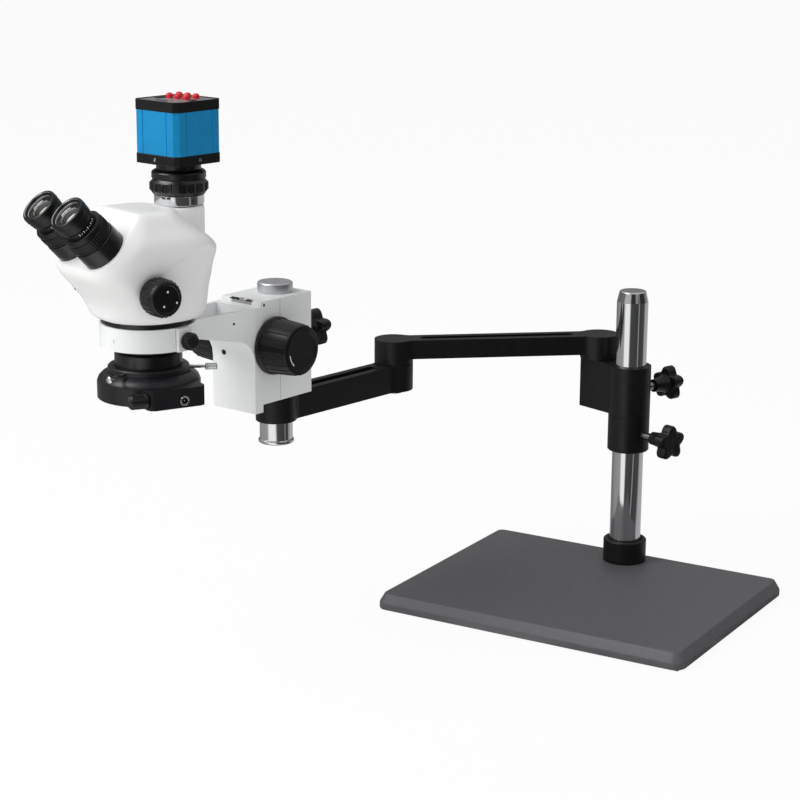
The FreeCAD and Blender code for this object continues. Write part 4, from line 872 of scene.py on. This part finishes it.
class MICROSCOPE_OT_eyepieces(PieceOperator, bpy.types.Operator):
    """Turn the eyetubes, diopter rings, eyepieces and eye lenses"""

    bl_idname = "microscope.eyepieces"
    bl_label = "Eyetubes and Eyepieces"

    def execute(self, context):
        for side in ("right", "left"):
            self.build_side(side)
        return {"FINISHED"}

    def build_side(self, side):
        place = along(f"diopter_{side}_turn", ACROSS_HEAD)
        body = f"eyetube_{side}"
        low, high = extent(f"eyetube_{side}", place)
        flange = 22.2
        base = low.z
        ring_start = 16.3
        tube = turned([
            (0, base), (flange - 1, base), (flange, base + 1), (flange, base + 3.6),
            (flange - 0.8, base + 4.8), (20.6, base + 5.2), (20.4, base + 6.2),
            (20.2, 15.2), (19.6, 16), (15, 16), (15, high.z), (11.9, high.z), (11.9, 8),
            (0, 8),
        ])
        finished(f"eyetube_{side}_barrel", tube, place, "anodised", body,
                 [f"eyetube_{side}"], edge=0.2)
        end = extent(f"diopter_ring_{side}", place)[1].z
        ring = turned([
            (15.1, ring_start), (19, ring_start), (19.5, ring_start + 0.6),
            (19.5, ring_start + 1.8), (18.8, ring_start + 2.2), (18.8, ring_start + 2.9),
            (19.5, ring_start + 3.3), (19.5, end - 5.6), (18.7, end - 5.2), (18.7, end - 4.4),
            (19.4, end - 4), (19.3, end - 1.4), (18.4, end - 0.3), (17.4, end), (15.1, end),
            (15.1, ring_start),
        ], 144)
        fluted(ring, ring_start + 3.4, end - 5.7, 19, 48, 0.35, 0.5)
        finished(f"diopter_{side}_grip", ring, place, "grip", f"diopter_ring_{side}",
                 [f"diopter_ring_{side}"], edge=0.12, angle=40)
        low, high = extent(f"eyepiece_{side}", place)
        seat = extent(f"eyetube_{side}", place)[1].z
        top = high.z
        rim = 17.4
        lens = 13.4
        eyepiece = turned([
            (0, low.z), (11.7, low.z), (11.7, seat), (15, seat), (15.1, seat + 4),
            (15.6, seat + 5), (16.4, seat + 6.5), (16.8, seat + 9), (17.1, top - 6.6),
            (rim, top - 6), (rim, top - 2), (rim - 0.6, top - 0.5), (rim - 1.6, top),
            (lens + 2.0, top), (lens + 1.0, top - 0.7), (lens + 0.1, top - 2.6),
            (lens - 0.6, top - 3.4), (11.4, top - 3.8), (11.4, top - 5.9), (0, top - 5.9),
        ])
        finished(f"eyepiece_{side}_body", eyepiece, place, "grip", body,
                 [f"eyepiece_{side}"], edge=0.15, angle=25)
        glint = turned([
            (lens - 0.5, top - 3.2), (lens + 0.25, top - 2.5), (lens + 1.05, top - 0.75),
            (lens + 1.7, top - 0.05),
        ])
        fitting(f"eyepiece_{side}_bezel", glint, place, "chrome", body)
        # The eye lens glass is near black: painted shade for the dark tube behind it.
        glass = turned([(0, top - 5.8), (11.3, top - 5.8), (11.3, top - 4.6),
                        *arc((0, top - 26.6), 24, 62, 90, 10)])
        finished(f"eye_lens_{side}_glass", glass, place, "lens", body,
                 [f"eye_lens_{side}"], edge=0)
        marks = []
        for index in range(9):
            bar = block((15.05, -0.35, seat + 1.4), (15.2, 0.35, seat + 3.2 - index % 2))
            marks.append(moved(bar, spun(9 * index - 36)))
        fitting(f"eyepiece_{side}_scale", merged(*marks), place, "white", body)


class MICROSCOPE_OT_relay(PieceOperator, bpy.types.Operator):
    """Turn the chromed seat, the ribbed focus ring and the camera's mount"""

    bl_idname = "microscope.relay"
    bl_label = "Photo Port and Relay"

    def execute(self, context):
        low, high = extent("port_ring", PORT)
        seat = turned([
            (18.1, low.z), (high.x - 0.6, low.z), (high.x, low.z + 0.6),
            (high.x, high.z - 0.6), (high.x - 0.6, high.z), (18.1, high.z), (18.1, low.z),
        ])
        finished("port_seat", seat, PORT, "chrome", "head", ["port_ring"], edge=0.2)
        side = space(PORT @ Vector((high.x - 0.15, 0.4, low.z + 4.5)), ACROSS_HEAD, UP)
        fitting("port_set_screw", screw_socket(1.5, 0.25, 0.8), side, "grip", "head")
        low, high = extent("relay_focus_ring", PORT)
        rim = high.x
        ring = turned([
            (18.1, low.z), (rim - 2, low.z), (rim - 1.2, low.z + 1.2), (rim - 0.4, low.z + 2.4),
            (rim, low.z + 3), (rim, high.z - 3), (rim - 0.5, high.z - 2.4),
            (rim - 1.4, high.z - 1.4), (rim - 2, high.z), (18.1, high.z), (18.1, low.z),
        ], 160)
        fluted(ring, low.z + 3.1, high.z - 3.1, 24, 20, 1.0, 0.4)
        finished("relay_grip", ring, PORT, "anodised", "relay_focus_ring",
                 ["relay_focus_ring"], edge=0.15, angle=38)
        low, high = extent("camera_mount", PORT)
        neck = high.z
        shelf = neck - 6
        foot = shelf - 7.7
        mount = turned([
            (0, low.z), (17.9, low.z), (17.9, foot), (24, foot), (24.4, foot + 0.4),
            (24.4, shelf - 2.6), (23.6, shelf - 1.4), (22, shelf - 0.4), (20.6, shelf),
            (20, shelf + 0.8), (20, neck), (0, neck),
        ])
        finished("camera_mount_ring", mount, PORT, "anodised", "camera",
                 ["camera_mount"], edge=0.2)
        return {"FINISHED"}


class MICROSCOPE_OT_camera(PieceOperator, bpy.types.Operator):
    """Finish the camera's blue body, end caps, keypad, buttons and sockets"""

    bl_idname = "microscope.camera"
    bl_label = "Camera"

    def execute(self, context):
        softened("camera_case", "blue", "camera", edge=0.3)
        softened("camera_lower_cap", "camera", "camera", edge=0.7)
        softened("camera_upper_cap", "camera", "camera", edge=0.5)
        softened("camera_panel", "film", "camera", edge=0.15)
        first = sum(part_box("camera_button_1"), Vector()) / 2
        third = sum(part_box("camera_button_3"), Vector()) / 2
        across = (third - first).normalized()
        for number in range(1, 7):
            node = f"camera_button_{number}"
            low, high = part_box(node)
            place = space(((low.x + high.x) / 2, (low.y + high.y) / 2, low.z), UP, across)
            height = (high.z - low.z) / MM
            radius = (high.x - low.x) / 2 / MM
            button = turned([
                (0, 0), (radius, 0), (radius, height - 2.4),
                *arc((radius - 2.4, height - 2.4), 2.4, 12, 78, 6), (0, height),
            ], 40)
            finished(node + "_cap", button, place, "red", node, [node], edge=0.1,
                     angle=50)
        self.build_sockets(across)
        return {"FINISHED"}

    def build_sockets(self, across):
        """Socket openings on the keypad's free edge, drawn as dark blocks of painted shade, and
        the lower cap's fixing screws.
        """
        x, y, _ = joints["camera_turn"]["pos_m"]
        place = space((x, y, 0), UP, across)
        panel_top = extent("camera_panel", place)[1].z
        edge_low, edge_high = extent("camera_lower_cap", place)
        sockets = [
            ("wide_socket", (-21.5, -8, 0), (-15.5, 4, 0.5)),
            ("card_slot", (-8, -18.6, 0), (6, -16.4, 0.3)),
            ("small_socket", (17.5, -4, 0), (21.5, 3.5, 0.5)),
        ]
        for name, low, high in sockets:
            # Each socket's opening is a flat dark block: painted shade.
            lift = Vector((0, 0, panel_top + 0.02))
            socket = block(Vector(low) + lift, Vector(high) + lift)
            finished(name, socket, place, "hole", "camera", edge=0.1)
        for index, turn in enumerate((0, 90, 180, 270)):
            wall = spun(turn)
            middle = (edge_low.z + edge_high.z) / 2
            screw = moved(screw_socket(1.5, 0.4, 0.8), Matrix.Rotation(math.pi / 2, 4, "X"))
            moved(screw, wall @ Matrix.Translation((0, edge_low.y + 0.15, middle)))
            fitting(f"cap_screw_{index + 1}", screw, place, "steel", "camera")


class MICROSCOPE_OT_ring_light(PieceOperator, bpy.types.Operator):
    """Finish the ring light: its housing, lamps, clamping screws, dimmer and socket"""

    bl_idname = "microscope.ring_light"
    bl_label = "Ring Light"

    def execute(self, context):
        softened("ring_light_housing", "light", "ring_light", edge=1.4, angle=24)
        dress("ring_light_lamps", "white")
        self.build_lamps(context.scene.shapes)
        for number in range(1, 4):
            self.build_screw(number)
        self.build_dimmer()
        self.build_socket()
        return {"FINISHED"}

    def build_lamps(self, shapes):
        low, high = extent("ring_light_lamps", LIGHT)
        inner = 33.6
        outer = high.x - 2.1
        lamps = []
        for row in range(shapes.lamp_rows):
            radius = inner + (outer - inner) * row / max(1, shapes.lamp_rows - 1)
            for index in range(shapes.lamps_per_row):
                lamp = bmesh.new()
                bmesh.ops.create_uvsphere(lamp, u_segments=8, v_segments=6, radius=1.35)
                turn = (index + 0.5 * (row % 2)) / shapes.lamps_per_row * 360
                spin = spun(turn)
                moved(lamp, spin @ Matrix.Translation((radius, 0, low.z + 0.4)))
                lamps.append(lamp)
        fitting("ring_lamps", merged(*lamps), LIGHT, "lamp", "ring_light")

    def build_screw(self, number):
        node = f"light_screw_{number}"
        place = along(node + "_turn")
        low, high = extent(node, place)
        head = high.z - 11
        radius = high.x
        screw = turned([
            (0, low.z), (1.5, low.z), (1.5, head), (radius - 0.5, head),
            (radius, head + 0.5), (radius, high.z - 0.7), (radius - 0.7, high.z),
            (0, high.z),
        ], 48)
        fluted(screw, head + 0.6, high.z - 0.8, radius - 0.6, 24, 0.2, 0.5)
        finished(node + "_bar", screw, place, "chrome", node, [node], edge=0.1,
                 angle=40)

    def build_dimmer(self):
        place = along("dimmer_turn")
        low, high = extent("dimmer_knob", place)
        top = high.z
        knob = turned([
            (0, low.z), (3, low.z), (3, 0.3), (7.5, 0.3), (7.6, 2.2), (6.9, 3.4),
            (6.5, top - 1.4), (5.4, top), (0, top),
        ], 72)
        fluted(knob, 3.5, top - 1.5, 6, 18, 0.5, 0.5)
        finished("dimmer_grip", knob, place, "grip", "dimmer_knob", ["dimmer_knob"],
                 edge=0.15, angle=38)
        line = block((1.2, -0.4, top - 0.02), (4.8, 0.4, top))
        fitting("dimmer_line", line, place, "white", "dimmer_knob")

    def build_socket(self):
        low, high = extent("dc_jack", LIGHT)
        middle = (low + high) / 2
        place = space(LIGHT @ Vector((high.x, middle.y, middle.z)), UP.cross(LIGHT_FRONT), UP)
        shell = turned([
            (2.9, -8), (2.9, -0.2), (3.2, 0), (4.3, 0), (4.5, -0.3), (4.5, -0.7), (4, -0.8),
            (4, -8.4), (0, -8.4), (0, -7.6), (2.9, -8),
        ], 48)
        finished("jack_shell", shell, place, "chrome", "ring_light", ["dc_jack"],
                 edge=0.1)
        # A dark lining inside the jack: painted shade for its unlit inside.
        well = turned([(2.85, -0.6), (2.85, -7.5), (0, -7.5)], 48)
        fitting("jack_well", well, place, "hole", "ring_light")
        pin = turned([(0, -7.4), (1, -7.4), (1, -1.6), (0.6, -1.0), (0, -1.0)], 24)
        fitting("jack_pin", pin, place, "steel", "ring_light")


# Stage

# The camera's place and tilt, fitted to the photograph from the base plate's corners,
# the pole and the head ring.
CAMERA_PLACE = Vector((0.891241, -1.858169, 0.731842))
CAMERA_RIGHT = Vector((0.85856, 0.51268, 0.00608))
CAMERA_UP = Vector((-0.13156, 0.20882, 0.96906))
CAMERA_BACK = Vector((0.49555, -0.83280, 0.24673))

# The point that the lamps face, about the middle of the microscope.
LAMP_AIM = Vector((-0.1, -0.1, 0.25))

# The Mix node's colour sockets by number, because they share their names with others.
MIX_SHARE, MIX_A, MIX_B, MIX_RESULT = 0, 6, 7, 2

# Dark screens and bright gaps round the studio: degrees of azimuth from +X, and brightness.
SCREENS = (
    (-180, 0.3), (-126, 0.35), (-116, 1.0), (-84, 1.0), (-74, 0.07), (-16, 0.05),
    (-11, 0.4), (-5, 0.05), (34, 0.07), (44, 0.4), (100, 0.5), (150, 0.18), (180, 0.3),
)


class MICROSCOPE_OT_stage(PieceOperator, bpy.types.Operator):
    """Set up the camera, the soft lamps, the pale surroundings and the floor"""

    bl_idname = "microscope.stage"
    bl_label = "Camera and Light"

    def execute(self, context):
        settings = context.scene.stage
        self.add_camera(context, settings)
        self.add_lamp("key_lamp", (-1.3, -1.6, 2.0), 1.6, settings.key_power)
        self.add_lamp("fill_lamp", (1.9, -0.9, 1.5), 1.4, settings.fill_power)
        self.add_sky(context, settings)
        self.add_floor(settings)
        context.scene.view_settings.view_transform = "Standard"
        return {"FINISHED"}

    def add_camera(self, context, settings):
        data = bpy.data.cameras.new("photograph_view")
        data.lens = settings.focal_length
        data.sensor_width = 36
        data.clip_end = 100
        camera = placed("photograph_view", data)
        turn = Matrix((CAMERA_RIGHT, CAMERA_UP, CAMERA_BACK)).transposed().to_4x4()
        camera.matrix_world = Matrix.Translation(CAMERA_PLACE) @ turn
        context.scene.camera = camera

    def add_lamp(self, name, place, size, power):
        data = bpy.data.lights.new(name, "AREA")
        data.shape = "SQUARE"
        data.size = size
        data.energy = power
        aim = LAMP_AIM - Vector(place)
        turn = aim.to_track_quat("-Z", "Y").to_matrix().to_4x4()
        placed(name, data).matrix_world = Matrix.Translation(place) @ turn

    def add_sky(self, context, settings):
        """Pale surroundings; polished metal also mirrors the studio's dark panels."""
        world = bpy.data.worlds.new("studio")
        world.use_nodes = True
        context.scene.world = world
        background = world.node_tree.nodes["Background"]
        direction = add_node(world, "ShaderNodeTexCoord").outputs["Generated"]
        parts = add_node(world, "ShaderNodeSeparateXYZ", Vector=direction)
        overhead = add_node(world, "ShaderNodeMapRange", Value=parts.outputs["Z"],
                            From_Min=0.3, From_Max=0.6)
        mirrored = add_node(world, "ShaderNodeMix", {"data_type": "RGBA"}, {
            MIX_SHARE: overhead.outputs["Result"], MIX_A: self.add_screens(world, parts),
            MIX_B: (1, 1, 1, 1)})
        path = add_node(world, "ShaderNodeLightPath")
        colour = add_node(world, "ShaderNodeMix", {"data_type": "RGBA"}, {
            MIX_SHARE: path.outputs["Is Glossy Ray"], MIX_A: (1, 1, 1, 1),
            MIX_B: mirrored.outputs[MIX_RESULT]})
        world.node_tree.links.new(colour.outputs[MIX_RESULT], background.inputs["Color"])
        shown = add_node(world, "ShaderNodeMath", {"operation": "MAXIMUM"}, {
            0: path.outputs["Is Camera Ray"], 1: path.outputs["Is Transmission Ray"]})
        strength = add_node(world, "ShaderNodeMapRange", Value=shown.outputs["Value"],
                            To_Min=settings.sky_strength, To_Max=1.0)
        world.node_tree.links.new(strength.outputs["Result"], background.inputs["Strength"])

    def add_screens(self, owner, parts):
        """Brightness round the studio by azimuth, as polished metal mirrors it."""
        azimuth = add_node(owner, "ShaderNodeMath", {"operation": "ARCTAN2"}, {
            0: parts.outputs["Y"], 1: parts.outputs["X"]})
        share = add_node(owner, "ShaderNodeMapRange", Value=azimuth.outputs["Value"],
                         From_Min=-math.pi, From_Max=math.pi)
        panels = add_node(owner, "ShaderNodeValToRGB", Fac=share.outputs["Result"])
        elements = panels.color_ramp.elements
        for degrees, _ in SCREENS[1:-1]:
            elements.new(degrees / 360 + 0.5)
        for element, (_, level) in zip(elements, SCREENS):
            element.color = (level, level, level, 1)
        return panels.outputs["Color"]

    def add_floor(self, settings):
        """A wide pale floor, nearly white to the camera, that keeps the shadow; to glossy rays it
        glows with a painted reflection of the screens.
        """
        mesh = bmesh.new()
        bmesh.ops.create_grid(mesh, x_segments=1, y_segments=1, size=30)
        data = mesh_data("floor", mesh)
        floor = placed("floor", data)
        material, shader, where = finish("matt_paper_floor", settings.floor_colour,
                                         Roughness=0.9, Specular_IOR_Level=0.0)
        mottle(material, shader, where, settings.floor_colour, 400.0, 0.004)
        glow = add_node(material, "ShaderNodeEmission", Strength=1.0)
        path = add_node(material, "ShaderNodeLightPath")
        seen = add_node(material, "ShaderNodeMath", {"operation": "MULTIPLY"}, {
            0: path.outputs["Is Camera Ray"], 1: settings.floor_glow})
        shown = add_node(material, "ShaderNodeMixShader", None, {
            0: seen.outputs["Value"], 1: shader.outputs["BSDF"],
            2: glow.outputs["Emission"]})
        # To glossy rays the floor glows with the screens' pattern: a painted reflection of the
        # studio screens in nearby polished metal.
        parts = add_node(material, "ShaderNodeSeparateXYZ", Vector=where)
        mirrored = add_node(material, "ShaderNodeEmission",
                            Color=self.add_screens(material, parts))
        either = add_node(material, "ShaderNodeMixShader", None, {
            0: path.outputs["Is Glossy Ray"], 1: shown.outputs["Shader"],
            2: mirrored.outputs["Emission"]})
        output = material.node_tree.nodes["Material Output"]
        material.node_tree.links.new(either.outputs["Shader"], output.inputs["Surface"])
        data.materials.append(material)


class MICROSCOPE_PT_panel(bpy.types.Panel):
    """Lists the microscope's pieces and their settings"""

    bl_label = "Microscope"
    bl_idname = "MICROSCOPE_PT_panel"
    bl_space_type = "VIEW_3D"
    bl_region_type = "UI"
    bl_category = "Microscope"

    def draw(self, context):
        for operator in PIECES:
            self.layout.operator(operator.bl_idname)
        for group in (context.scene.shapes, context.scene.finishes, context.scene.stage):
            box = self.layout.box()
            for name in group.__annotations__:
                box.prop(group, name)


PIECES = (
    MICROSCOPE_OT_stage,
    MICROSCOPE_OT_base,
    MICROSCOPE_OT_pole,
    MICROSCOPE_OT_clamp,
    MICROSCOPE_OT_star_knobs,
    MICROSCOPE_OT_arms,
    MICROSCOPE_OT_spindle,
    MICROSCOPE_OT_focus_block,
    MICROSCOPE_OT_focus_knobs,
    MICROSCOPE_OT_bracket,
    MICROSCOPE_OT_barrel,
    MICROSCOPE_OT_head,
    MICROSCOPE_OT_zoom_knobs,
    MICROSCOPE_OT_eyepieces,
    MICROSCOPE_OT_relay,
    MICROSCOPE_OT_camera,
    MICROSCOPE_OT_ring_light,
)
SETTINGS = {"finishes": FinishSettings, "shapes": ShapeSettings, "stage": StageSettings}


def register():
    for name, group in SETTINGS.items():
        bpy.utils.register_class(group)
        setattr(bpy.types.Scene, name, PointerProperty(type=group))
    for piece in PIECES:
        bpy.utils.register_class(piece)
    bpy.utils.register_class(MICROSCOPE_PT_panel)


def unregister():
    bpy.utils.unregister_class(MICROSCOPE_PT_panel)
    for piece in reversed(PIECES):
        bpy.utils.unregister_class(piece)
    for name, group in SETTINGS.items():
        delattr(bpy.types.Scene, name)
        bpy.utils.unregister_class(group)


def main():
    register()
    for piece in PIECES:
        category, name = piece.bl_idname.split(".")
        getattr(getattr(bpy.ops, category), name)()


if __name__ == "__main__":
    main()
